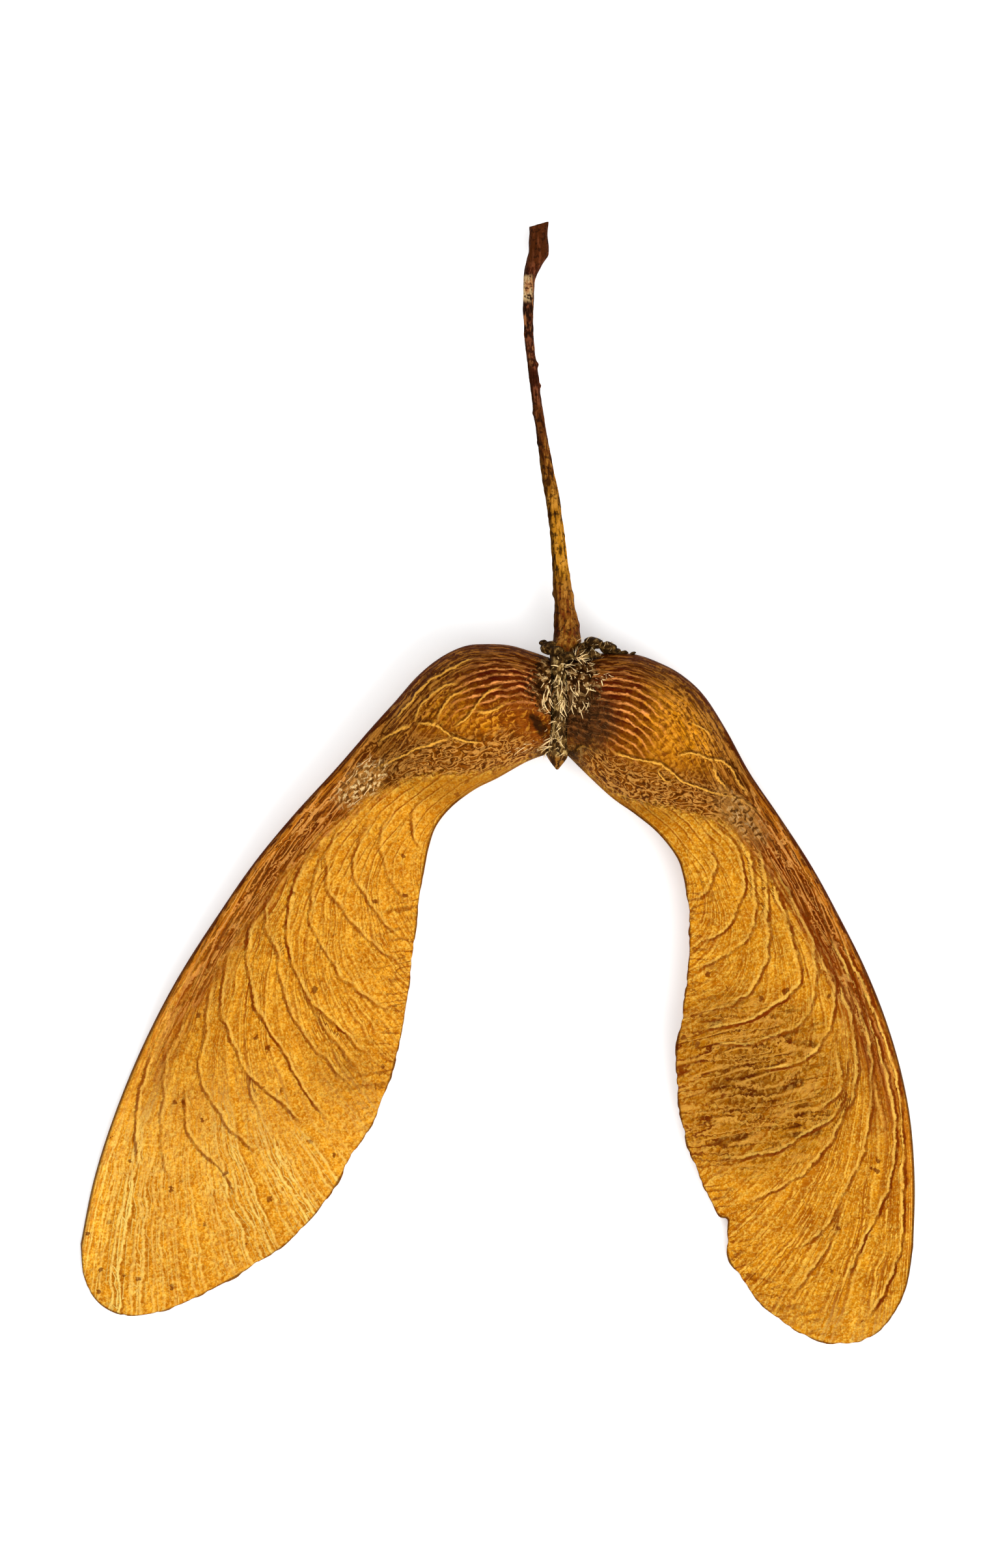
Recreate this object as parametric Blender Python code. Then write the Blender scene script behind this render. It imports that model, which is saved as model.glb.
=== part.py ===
"""A pair of sycamore maple samaras on their stalk, lying flat. Two winged seeds part along the seam
between them, and the stalk runs down between the two as a thin column. Lengths are in millimetres in
the tables and formulas, and turn into metres where a mesh is made."""

import math

import bmesh
import bpy
import numpy as np

COLLECTION = "sycamore_maple_samara"
MM = 0.001
# Where the middle of the seam sits, so that the box round the whole pair is centred on the origin.
SEAM_X = 2.88
SEAM_Y = 3.65

NUTLET_MID_HEIGHT = 2.35
NUTLET_THICKNESS = 4.25
NUTLET_FULLNESS = 0.7
WING_THICKNESS = 0.62
LEADING_EDGE_EXTRA = 0.5
LEADING_EDGE_WIDTH = 0.9
TIP_MID_HEIGHT = 0.36
DROOP_START = 6.0
DROOP_END = 31.0
RIPPLE = 0.3
RIPPLE_LENGTH = 7.5
INNER_LIFT = 0.5

RIBS = 12
RIB_HEIGHT = 0.18
VEIN_HEIGHT = 0.13
NET_HEIGHT = 0.09
ROWS = 46
HUG = 0.88
TIP_FAN_LESS = 2.6

# Outlines run from the seam outwards, as seen from above with the stalk pointing to +Y.
# outer: the top of the nutlet and the thick leading edge down to the side of the tip.
# inner: the lower edge of the nutlet and the neck.
# margin: round the tip and back up the wing's inner margin to where inner ends.
# fan: how late the veins leave the leading edge, so also how sharply they bend.
LEFT = {
    "name": "samara_left",
    "colour": (0.62, 0.28, 0.045, 1.0),
    "fan": 5.2,
    "outer": [
        (-0.5, 2.2), (-1.24, 2.5), (-2.3, 2.8), (-3.4, 2.86), (-4.4, 2.76), (-5.5, 2.24), (-6.57, 1.38),
        (-7.63, 0.18), (-8.7, -1.0), (-10.38, -2.93), (-12.33, -5.06), (-14.1, -7.19), (-15.6, -9.32),
        (-17.66, -12.5), (-19.34, -15.7), (-20.67, -18.9), (-21.7, -22.1), (-22.36, -25.2),
    ],
    "inner": [
        (-0.5, -2.2), (-1.5, -2.62), (-2.84, -3.37), (-3.9, -3.9), (-4.97, -4.7), (-5.7, -5.6),
        (-6.05, -6.6), (-6.25, -7.6),
    ],
    "margin": [
        (-22.36, -25.2), (-22.24, -26.7), (-21.5, -27.9), (-20.2, -28.5), (-18.6, -28.35), (-16.4, -27.4),
        (-12.9, -25.3), (-10.9, -23.2), (-9.58, -21.0), (-8.34, -18.9), (-7.36, -15.7), (-6.83, -12.5),
        (-6.55, -9.8), (-6.25, -7.6),
    ],
    "nutlet": {"middle": (-3.4, -0.2), "angle": 215.0, "half_length": 5.7, "half_width": 3.35},
}
RIGHT = {
    "name": "samara_right",
    "colour": (0.58, 0.25, 0.04, 1.0),
    "fan": 6.0,
    "outer": [
        (0.5, 2.2), (1.3, 2.35), (2.4, 2.45), (3.55, 2.38), (4.61, 2.02), (5.68, 1.45), (6.74, 0.48),
        (7.81, -1.18), (8.87, -3.11), (10.2, -5.06), (11.6, -7.19), (12.8, -9.32), (14.4, -12.5),
        (15.6, -15.7), (16.35, -18.9), (16.62, -22.1), (16.55, -25.3),
    ],
    "inner": [
        (0.5, -2.3), (1.42, -3.33), (2.48, -4.3), (3.55, -5.06), (4.61, -5.94), (5.5, -7.1), (5.85, -8.2),
    ],
    "margin": [
        (16.55, -25.3), (16.2, -27.3), (15.3, -28.9), (14.2, -29.7), (12.9, -29.85), (11.6, -29.5),
        (10.2, -28.7), (8.95, -27.5), (8.2, -26.4), (7.82, -25.6), (7.8, -24.6), (7.86, -23.95),
        (7.35, -23.7), (6.5, -22.0), (5.8, -20.0), (5.45, -17.8), (5.42, -16.2), (5.68, -14.4),
        (5.94, -12.5), (6.03, -10.4), (5.85, -8.2),
    ],
    "nutlet": {"middle": (3.5, -0.9), "angle": 316.0, "half_length": 5.5, "half_width": 3.4},
}

# The stalk from its cut end to the style: x, y, half width across, half height, height of the middle.
STALK_STATIONS = [
    (-0.60, 22.60, 0.10, 0.10, 1.00), (-0.66, 22.52, 0.30, 0.30, 1.00), (-0.80, 22.1, 0.42, 0.42, 1.00),
    (-0.98, 21.6, 0.48, 0.46, 1.02), (-1.15, 21.0, 0.44, 0.42, 1.06), (-1.24, 20.5, 0.39, 0.38, 1.10),
    (-1.36, 19.8, 0.31, 0.31, 1.16), (-1.42, 19.0, 0.28, 0.28, 1.22), (-1.45, 17.8, 0.24, 0.24, 1.30),
    (-1.40, 16.8, 0.23, 0.23, 1.38), (-1.20, 15.2, 0.26, 0.26, 1.50), (-1.02, 14.1, 0.27, 0.27, 1.58),
    (-0.84, 13.0, 0.27, 0.27, 1.66), (-0.66, 11.9, 0.29, 0.29, 1.74), (-0.53, 10.9, 0.30, 0.30, 1.81),
    (-0.35, 9.8, 0.31, 0.31, 1.88), (-0.18, 8.8, 0.32, 0.32, 1.95), (-0.05, 7.7, 0.33, 0.33, 2.02),
    (0.04, 6.65, 0.36, 0.36, 2.09), (0.16, 5.5, 0.42, 0.42, 2.16), (0.27, 4.5, 0.48, 0.48, 2.22),
    (0.33, 3.8, 0.55, 0.58, 2.28), (0.33, 3.3, 0.68, 0.78, 2.32), (0.25, 2.95, 0.82, 1.0, 2.34),
    (0.08, 2.68, 0.72, 1.2, 2.35), (0.0, 2.5, 0.42, 1.3, 2.35), (0.0, 2.3, 0.3, 1.35, 2.35),
    (0.0, 1.2, 0.3, 1.5, 2.35), (0.0, 0.0, 0.3, 1.5, 2.35), (0.0, -1.2, 0.3, 1.3, 2.35),
    (0.0, -2.0, 0.3, 0.9, 2.35), (0.0, -2.4, 0.36, 0.5, 2.35), (0.0, -2.7, 0.42, 0.42, 2.35),
    (0.0, -3.05, 0.32, 0.32, 2.35), (0.0, -3.2, 0.1, 0.1, 2.35),
]
STALK_SIDES = 16
STALK_GROOVES = 4
GROOVE_DEPTH = 0.05
STALK_COLOUR = (0.2, 0.065, 0.025, 1.0)
# Dried remains of the flower's disc beside the stalk's foot: middle and half sizes.
DISC_LUMPS = [
    ((1.15, 3.0, 2.5), (0.62, 0.3, 0.62)),
    ((1.85, 3.02, 2.55), (0.66, 0.26, 0.5)),
    ((-0.45, 2.98, 2.5), (0.36, 0.24, 0.5)),
]


def smooth_line(points, steps=10):
    """A Catmull-Rom curve through hand-set points, with its length from the start at each sample."""
    hand = np.array(points, float)
    ends = np.vstack([2 * hand[0] - hand[1], hand, 2 * hand[-1] - hand[-2]])
    t = np.linspace(0.0, 1.0, steps, endpoint=False)[:, None]
    parts = []
    for a, b, c, d in zip(ends[:-3], ends[1:-2], ends[2:-1], ends[3:]):
        parts.append(0.5 * (2 * b + (c - a) * t + (2 * a - 5 * b + 4 * c - d) * t**2
                            + (3 * b - a - 3 * c + d) * t**3))
    line = np.vstack([*parts, hand[-1:]])
    lengths = np.concatenate([[0.0], np.cumsum(np.linalg.norm(np.diff(line, axis=0), axis=1))])
    return line, lengths


def along(points, fractions):
    """Points at the given fractions of a smooth line's length."""
    line, lengths = smooth_line(points)
    where = np.asarray(fractions) * lengths[-1]
    return np.stack([np.interp(where, lengths, line[:, k]) for k in range(line.shape[1])], axis=-1)


def smoothstep(low, high, value):
    t = np.clip((value - low) / (high - low), 0.0, 1.0)
    return t * t * (3 - 2 * t)


def distance_to(points, grid):
    """How far each grid point is from a smooth line."""
    line, _ = smooth_line(points)
    start, step = line[:-1], np.diff(line, axis=0)
    offset = grid[..., None, :] - start
    t = np.clip((offset * step).sum(-1) / (step * step).sum(-1), 0.0, 1.0)
    return np.linalg.norm(offset - t[..., None] * step, axis=-1).min(axis=-1)


def across_lines():
    """Places from the leading edge (0) to the inner edge (1): each rib has a crest and two feet."""
    ribs = (np.arange(3 * RIBS) + 0.5) / (3 * RIBS)
    return np.concatenate([[0.0], ribs, [1.0]])


def along_lines():
    """Places from the seam (0) to the wing's margin (1), with one more row close to the margin."""
    rows = np.linspace(0.0, 1.0, ROWS + 1)
    return np.concatenate([rows[:-1], [1 - 0.3 / ROWS, 1.0]])


def vein_grid(samara, us, vs):
    """Points in plan whose rows of constant v run as the veins do: out of the seam, along the leading
    edge, then away from it to the inner margin."""
    outer, inner = along(samara["outer"], us)[:, None], along(samara["inner"], us)[:, None]
    margin = along(samara["margin"], vs)[None]
    u, v = us[:, None, None], vs[None, :, None]
    hug = HUG * smoothstep(0.0, 0.5, u)
    share = v * (1 - hug * (1 - v))
    plain = (1 - share) * outer + share * inner
    seam = (1 - v) * outer[:1] + v * inner[:1]
    last_share = v * (1 - HUG * (1 - v))
    end = (1 - last_share) * outer[-1:] + last_share * inner[-1:]
    fan = samara["fan"] - TIP_FAN_LESS * (1 - smoothstep(0.0, 0.5, v))
    return plain + u**fan * (margin - end) + (1 - u) ** 2 * (seam - plain[:1])


def bulge(nutlet, grid):
    """How much of the nutlet's full thickness there is at each point, as a flattened egg."""
    angle = math.radians(nutlet["angle"])
    offset = grid - np.array(nutlet["middle"])
    forward = offset[..., 0] * math.cos(angle) + offset[..., 1] * math.sin(angle)
    sideways = offset[..., 1] * math.cos(angle) - offset[..., 0] * math.sin(angle)
    out = (forward / nutlet["half_length"]) ** 2 + (sideways / nutlet["half_width"]) ** 2
    return np.clip(1 - out, 0.0, 1.0) ** NUTLET_FULLNESS


def spread(plan):
    """The distance between the rows on either side of each point, small where the veins run close."""
    beside = np.linalg.norm(plan[:, 2:] - plan[:, :-2], axis=-1)
    return np.pad(beside, ((0, 0), (1, 1)), mode="edge")


def relief(us, vs, full):
    """Height of the ribs, the veins and the net between them. full is the nutlet's bulge."""
    column = np.arange(len(vs))[None, :]
    row = np.arange(len(us))[:, None]
    crest = (column % 3 == 2) & (column < len(vs) - 1)
    first_foot = column % 3 == 0
    rib = np.where(full > 0, RIB_HEIGHT, VEIN_HEIGHT)
    bars = ((row + 2 * (column // 3)) % 4 == 0) & ~crest & (row > 3)
    fork = first_foot & (us[:, None] > 0.62)
    return np.where(crest, rib, np.where(fork, VEIN_HEIGHT * 0.7, np.where(bars, NET_HEIGHT, 0.0)))


def mid_height(samara, grid, vs):
    """Height of the middle of the wing, which droops from the nutlet to the tip and ripples."""
    reach = np.linalg.norm(grid, axis=-1)
    drop = smoothstep(DROOP_START, DROOP_END, reach)
    height = NUTLET_MID_HEIGHT + (TIP_MID_HEIGHT - NUTLET_MID_HEIGHT) * drop
    wing = smoothstep(7.0, 14.0, reach) * vs[None, :] ** 1.5
    wave = RIPPLE * np.sin(2 * math.pi * reach / RIPPLE_LENGTH)
    return height + wing * (wave + INNER_LIFT)


def sheets(samara):
    """The top and bottom of one samara as two grids of points that share their outer edges."""
    us, vs = along_lines(), across_lines()
    plan = vein_grid(samara, us, vs)
    to_outer = distance_to(samara["outer"], plan)
    edge = np.minimum(to_outer, distance_to(samara["inner"], plan))
    edge = np.minimum(edge, distance_to(samara["margin"], plan))
    edge[-1] = 0.0
    edge[:, 0] = 0.0
    edge[:, -1] = 0.0
    full = bulge(samara["nutlet"], plan)
    leading = LEADING_EDGE_EXTRA * np.exp(-((to_outer / LEADING_EDGE_WIDTH) ** 2)) * smoothstep(0.1, 0.3, us)[:, None]
    thickness = WING_THICKNESS + leading + NUTLET_THICKNESS * full
    rounding = np.clip(edge / (0.5 * thickness), 0.0, 1.0)
    half = 0.5 * thickness * np.sqrt(1 - (1 - rounding) ** 2)
    raised = relief(us, vs, full) * smoothstep(0.0, 0.5, edge) * smoothstep(0.1, 0.6, spread(plan))
    middle = mid_height(samara, plan, vs)
    middle = np.maximum(middle, np.where(full > 0, middle, half + raised))
    top = np.dstack([plan, middle + half + raised])
    bottom = np.dstack([plan, np.maximum(middle - half - raised, 0.0)])
    return top, bottom


def area(a, b, c):
    return 0.5 * ((b[0] - a[0]) * (c[1] - a[1]) - (b[1] - a[1]) * (c[0] - a[0]))


def split_quads(plan):
    """Two triangles for each quad of a grid, cut along the diagonal that leaves them fullest."""
    turn = math.copysign(1.0, area(plan[2, 2], plan[3, 2], plan[2, 3]))
    triangles = []
    for i in range(plan.shape[0] - 1):
        for j in range(plan.shape[1] - 1):
            a, b, c, d = (i, j), (i + 1, j), (i + 1, j + 1), (i, j + 1)
            first = [(a, b, c), (a, c, d)]
            second = [(a, b, d), (b, c, d)]
            fullness = [min(turn * area(*(plan[k] for k in t)) for t in pair) for pair in (first, second)]
            triangles += first if fullness[0] >= fullness[1] else second
    return triangles, turn


def samara_mesh(samara):
    """Points and faces of one closed samara."""
    top, bottom = sheets(samara)
    rows, columns = top.shape[:2]
    triangles, turn = split_quads(top[..., :2])
    top_index = np.arange(rows * columns).reshape(rows, columns)
    bottom_index = top_index + rows * columns
    shared = np.zeros((rows, columns), bool)
    shared[-1] = True
    shared[:, 0] = True
    shared[:, -1] = True
    bottom_index = np.where(shared, top_index, bottom_index)
    points = np.vstack([top.reshape(-1, 3), bottom.reshape(-1, 3)])
    faces = []
    for triangle in triangles:
        upper = [int(top_index[k]) for k in triangle]
        lower = [int(bottom_index[k]) for k in triangle]
        faces.append(upper if turn > 0 else upper[::-1])
        faces.append(lower[::-1] if turn > 0 else lower)
    for j in range(columns - 1):
        ring = [top_index[0, j + 1], top_index[0, j], bottom_index[0, j], bottom_index[0, j + 1]]
        ring = [int(k) for n, k in enumerate(ring) if k not in ring[:n]]
        faces.append(ring if turn > 0 else ring[::-1])
    return points, faces


def new_object(name, points, faces, colour, collection):
    """A mesh object in metres, seam at its place in the box, with one material of its own."""
    mesh = bpy.data.meshes.new(name)
    moved = (np.asarray(points) + np.array([SEAM_X, SEAM_Y, 0.0])) * MM
    mesh.from_pydata(moved.tolist(), [], faces)
    shape = bmesh.new()
    shape.from_mesh(mesh)
    loose = [v for v in shape.verts if not v.link_faces]
    bmesh.ops.delete(shape, geom=loose, context="VERTS")
    bmesh.ops.triangulate(shape, faces=[f for f in shape.faces if len(f.verts) > 3])
    bmesh.ops.recalc_face_normals(shape, faces=shape.faces)
    shape.to_mesh(mesh)
    shape.free()
    material = bpy.data.materials.new(name)
    material.use_nodes = True
    material.node_tree.nodes["Principled BSDF"].inputs["Base Color"].default_value = colour
    mesh.materials.append(material)
    item = bpy.data.objects.new(name, mesh)
    collection.objects.link(item)
    return item


def tube(stations, sides):
    """A closed tube of upright elliptical rings, grooved along its length and pointed at both ends."""
    points = []
    for x, y, across, up, height in stations:
        for k in range(sides):
            angle = 2 * math.pi * k / sides
            groove = GROOVE_DEPTH * min(across, up) * (1 + math.cos(STALK_GROOVES * angle)) / 2 / 0.3
            points.append((x + (across - groove) * math.cos(angle), y, height + (up - groove) * math.sin(angle)))
    faces = [list(range(sides)), list(range(len(points) - sides, len(points)))[::-1]]
    for n in range(len(stations) - 1):
        for k in range(sides):
            after = (k + 1) % sides
            faces.append([n * sides + k, (n + 1) * sides + k, (n + 1) * sides + after, n * sides + after])
    return points, faces


def lump(middle, half_sizes, collection):
    """A rough little ball with eight-sided rings."""
    rings = 6
    sides = 10
    stations = []
    for n in range(rings + 1):
        angle = math.pi * (n + 0.5) / (rings + 1)
        reach = math.sin(angle) * (1 + 0.12 * math.cos(5 * n))
        stations.append((middle[0] + half_sizes[0] * math.cos(angle), middle[1], half_sizes[1] * reach,
                         half_sizes[2] * reach, middle[2]))
    points = []
    for x, y, across, up, height in stations:
        for k in range(sides):
            turn = 2 * math.pi * k / sides
            points.append((x, y + across * math.cos(turn), height + up * math.sin(turn)))
    faces = [list(range(sides)), list(range(len(points) - sides, len(points)))[::-1]]
    for n in range(rings):
        for k in range(sides):
            after = (k + 1) % sides
            faces.append([n * sides + k, (n + 1) * sides + k, (n + 1) * sides + after, n * sides + after])
    return new_object("disc_lump", points, faces, STALK_COLOUR, collection)


def joined(item, others):
    """One closed body from an object and the lumps that overlap it, which are then removed."""
    for other in others:
        union = item.modifiers.new("union", "BOOLEAN")
        union.operation = "UNION"
        union.solver = "EXACT"
        union.object = other
    graph = bpy.context.evaluated_depsgraph_get()
    mesh = bpy.data.meshes.new_from_object(item.evaluated_get(graph))
    item.modifiers.clear()
    item.data = mesh
    for other in others:
        bpy.data.objects.remove(other)


def main():
    for item in list(bpy.data.objects):
        bpy.data.objects.remove(item)
    collection = bpy.data.collections.new(COLLECTION)
    bpy.context.scene.collection.children.link(collection)
    for samara in (LEFT, RIGHT):
        points, faces = samara_mesh(samara)
        new_object(samara["name"], points, faces, samara["colour"], collection)
    line, _ = smooth_line(STALK_STATIONS, steps=1)
    points, faces = tube(line, STALK_SIDES)
    stalk = new_object("stalk", points, faces, STALK_COLOUR, collection)
    joined(stalk, [lump(middle, sizes, collection) for middle, sizes in DISC_LUMPS])


main()
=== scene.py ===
"""A pair of dry sycamore maple samaras on their stalk, lying flat on a pale surface: fine veined skins
for the two winged seeds, a grooved stalk with the dried remains of the flower at its foot, and the
pale hairs at the seam. Tables and formulas are in millimetres from the middle of the seam."""

import math

import bpy
import numpy as np
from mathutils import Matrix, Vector


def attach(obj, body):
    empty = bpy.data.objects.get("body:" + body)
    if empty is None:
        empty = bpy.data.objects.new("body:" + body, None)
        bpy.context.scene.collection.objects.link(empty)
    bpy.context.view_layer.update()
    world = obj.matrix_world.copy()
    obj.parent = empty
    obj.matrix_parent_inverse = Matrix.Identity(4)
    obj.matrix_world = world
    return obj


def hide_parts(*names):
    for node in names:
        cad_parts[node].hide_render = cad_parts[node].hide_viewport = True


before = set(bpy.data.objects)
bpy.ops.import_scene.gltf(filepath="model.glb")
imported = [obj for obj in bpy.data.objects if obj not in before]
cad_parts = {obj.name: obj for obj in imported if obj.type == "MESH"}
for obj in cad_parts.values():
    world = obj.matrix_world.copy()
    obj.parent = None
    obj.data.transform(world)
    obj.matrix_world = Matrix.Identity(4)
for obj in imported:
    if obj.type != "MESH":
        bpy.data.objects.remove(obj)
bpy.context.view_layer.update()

MM = 0.001
SEAM_X = 2.88
SEAM_Y = 3.65

# The nutlets and wings: thicknesses, and heights of the middle between the upper and the lower skin.
NUTLET_MID_HEIGHT = 2.35
NUTLET_THICKNESS = 4.3
NUTLET_FULLNESS = 0.7
SOURCE_WING_THICKNESS = 0.62
WING_THICKNESS = 0.24
LEADING_EDGE_EXTRA = 0.7
LEADING_EDGE_WIDTH = 0.75
TIP_MID_HEIGHT = 0.36
DROOP_START = 6.0
DROOP_END = 31.0
WING_START = 7.0
RIPPLE = 0.3
RIPPLE_LENGTH = 7.5
INNER_LIFT = 0.5

# The grid of each skin, whose rows run across the veins and whose columns run along them. HUG draws the
# columns to the leading edge, and TIP_FAN_LESS makes the first of them turn away from it earlier.
HUG = 0.88
TIP_FAN_LESS = 2.6
NUTLET_SHARE = 0.28
NUTLET_ROWS = 72
WING_ROWS = 110
MARGIN_ROWS = [0.9955, 0.998, 0.9993, 1.0]
COLUMNS = 260

# The finest veins, the ribs of the nutlets and the raised lines on them.
MAIN_VEINS = 15
FORKS = 2
FORK_LENGTH = 0.22
RIBS = 17
RIB_HEIGHT = 0.09
RIB_WIDTH = 0.085
LINE_HEIGHT = 0.07
LINE_WIDTH = 0.1
# A distance for points that no line is near.
FAR = 9.0

# Each samara: the outlines of its leading side, inner side and margin, its nutlet, the raised lines on
# it, its main veins with how strong each is, the border between nutlet and wing, and its colours.
LEFT = {
    "name": "samara_left",
    "slot": "left_wing_and_nutlet",
    "fan": 5.2,
    "late": 0.0,
    "outer": [
        (-0.38, 2.2), (-1.24, 2.5), (-2.3, 2.8), (-3.4, 2.86), (-4.4, 2.76), (-5.5, 2.24), (-6.57, 1.38),
        (-7.63, 0.18), (-8.7, -1.0), (-10.38, -2.93), (-12.33, -5.06), (-14.1, -7.19), (-15.6, -9.32),
        (-17.66, -12.5), (-19.34, -15.7), (-20.67, -18.9), (-21.7, -22.1), (-22.34, -25.2),
    ],
    "inner": [
        (-0.38, -2.2), (-1.5, -2.62), (-2.84, -3.37), (-3.9, -3.9), (-4.97, -4.7), (-5.7, -5.6),
        (-6.05, -6.6), (-6.25, -7.6),
    ],
    "margin": [
        (-22.34, -25.2), (-22.2, -26.7), (-21.5, -27.9), (-20.2, -28.5), (-18.6, -28.35), (-16.4, -27.4),
        (-12.9, -25.3), (-10.9, -23.2), (-9.58, -21.0), (-8.34, -18.9), (-7.36, -15.7), (-6.83, -12.5),
        (-6.55, -9.8), (-6.25, -7.6),
    ],
    "nutlet": {"middle": (-3.4, -0.2), "angle": 215.0, "half_length": 5.7, "half_width": 3.35},
    "lines": [
        [(-6.79, -0.9), (-6.35, -0.83), (-5.76, -0.9), (-5.32, -1.23), (-5.02, -1.53), (-4.36, -1.64),
         (-3.41, -1.67)],
        [(-5.02, -1.53), (-5.76, -1.75), (-6.86, -2.11), (-7.89, -2.63), (-8.63, -3.0)],
        [(-5.76, -0.9), (-5.47, -0.35), (-5.17, 0.17), (-4.8, 0.53), (-4.22, 0.83)],
        [(-4.88, -1.19), (-4.44, -0.79), (-3.99, -0.35), (-3.55, 0.31), (-3.04, 0.76), (-2.52, 0.9)],
        [(-6.79, -0.9), (-7.53, -1.16), (-8.12, -1.53), (-8.56, -1.89)],
        [(-6.72, -0.86), (-6.46, -0.13), (-6.13, 0.31), (-5.47, 0.76), (-4.58, 1.05)],
        [(-7.6, -0.79), (-6.94, 0.17), (-6.06, 1.12), (-5.03, 1.71), (-3.85, 2.23)],
        [(-3.99, -0.35), (-3.41, -0.35), (-2.82, -0.13), (-2.38, 0.17)],
    ],
    "veins": [
        (0.8, [(-6.03, -4.08), (-6.64, -4.56), (-6.86, -5.08), (-6.86, -5.77), (-6.68, -6.38),
            (-6.34, -7.16)]),
        (0.55, [(-7.6, -4.3), (-7.95, -5.1), (-8.3, -5.9), (-8.3, -6.9), (-8.0, -7.9), (-7.4, -8.8),
            (-6.75, -9.5)]),
        (0.7, [(-8.7, -4.7), (-9.15, -5.86), (-9.5, -6.64), (-9.62, -7.33), (-9.55, -8.1), (-9.07, -8.8),
            (-8.37, -9.93), (-7.77, -10.54), (-7.07, -11.15)]),
        (0.65, [(-9.9, -5.1), (-10.45, -5.95), (-10.8, -6.7), (-10.87, -7.5), (-10.8, -8.55), (-10.3, -9.3),
            (-9.5, -10.3), (-8.7, -11.1), (-7.8, -11.8), (-6.95, -12.3)]),
        (0.75, [(-11.0, -6.2), (-11.28, -7.5), (-11.5, -8.4), (-11.62, -9.3), (-11.58, -10.1),
            (-11.15, -11.15), (-10.65, -11.9), (-10.1, -12.75), (-9.41, -13.23), (-8.6, -13.9),
            (-7.6, -14.5)]),
        (1.0, [(-11.7, -6.8), (-12.27, -8.1), (-12.55, -9.0), (-12.7, -10.0), (-12.72, -10.9),
            (-12.5, -11.9), (-12.19, -12.62), (-11.84, -13.4), (-11.3, -14.1), (-10.6, -14.75),
            (-9.9, -15.4), (-9.2, -16.1), (-8.7, -16.6)]),
        (0.8, [(-12.2, -12.7), (-11.6, -13.9), (-11.1, -14.8), (-10.5, -15.6), (-9.8, -16.5), (-9.1, -17.4)]),
        (0.75, [(-13.1, -8.3), (-13.66, -9.3), (-13.75, -10.2), (-13.45, -10.9), (-13.15, -11.6),
            (-13.05, -12.6), (-12.7, -13.8), (-12.2, -14.9), (-11.4, -16.0), (-10.5, -17.0), (-9.6, -17.9)]),
        (0.95, [(-14.1, -9.6), (-14.5, -10.7), (-14.62, -11.8), (-14.4, -12.9), (-14.2, -14.0),
            (-13.6, -15.0), (-13.15, -15.8), (-12.7, -16.5), (-12.2, -17.5), (-11.5, -18.5), (-10.7, -19.5)]),
        (0.85, [(-15.3, -11.2), (-15.7, -12.8), (-15.8, -14.4), (-15.45, -15.2), (-15.1, -16.1),
            (-14.8, -16.9), (-14.3, -17.4), (-13.8, -17.9), (-13.2, -18.4), (-12.5, -19.0), (-11.7, -19.9)]),
        (0.8, [(-14.75, -16.95), (-14.5, -17.6), (-14.4, -18.2), (-14.1, -18.8), (-13.9, -19.6)]),
        (0.7, [(-16.2, -12.6), (-16.45, -14.2), (-16.52, -15.3), (-16.72, -16.1), (-16.85, -16.8),
            (-16.6, -17.9), (-16.0, -18.8), (-15.4, -19.7), (-14.6, -20.5), (-13.7, -21.2)]),
        (0.75, [(-17.4, -17.5), (-17.5, -19.0), (-17.2, -20.2), (-16.6, -20.9), (-15.9, -21.5),
            (-15.35, -22.3), (-15.0, -23.4)]),
        (0.6, [(-18.35, -15.6), (-18.45, -17.0), (-18.5, -18.4), (-18.6, -19.8), (-18.5, -21.2),
            (-18.0, -22.4)]),
        (0.8, [(-18.9, -15.8), (-19.45, -17.5), (-19.7, -18.7), (-19.8, -19.7), (-19.75, -20.8),
            (-19.5, -21.9)]),
    ],
    "border": [
        (-12.5, -6.3), (-11.0, -4.9), (-9.6, -4.5), (-8.4, -4.1), (-7.0, -3.45), (-5.5, -3.3),
        (-4.0, -3.25), (-2.5, -2.95), (-1.2, -2.5), (-0.3, -2.4),
    ],
    "ribs_end": 0.52,
    "stain": {"middle": (-9.7, -16.8), "half_x": 2.2, "half_y": 1.5, "strength": 0.25},
    "glow": {"middle": (-4.1, -0.75), "half_x": 2.0, "half_y": 1.5, "colour": (170, 96, 4)},
    "neck": {"middle": (-9.2, -3.65), "way": (0.76, 0.65), "long": 1.6, "wide": 0.75, "strength": 0.9},
    "pale_below": (-15.5, -23.0),
    "tones": ((202, 124, 8), (242, 168, 38)),
    "shine": (236, 160, 34),
    "lit_side": 1.0,
    "stripes": 0.5,
}
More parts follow.
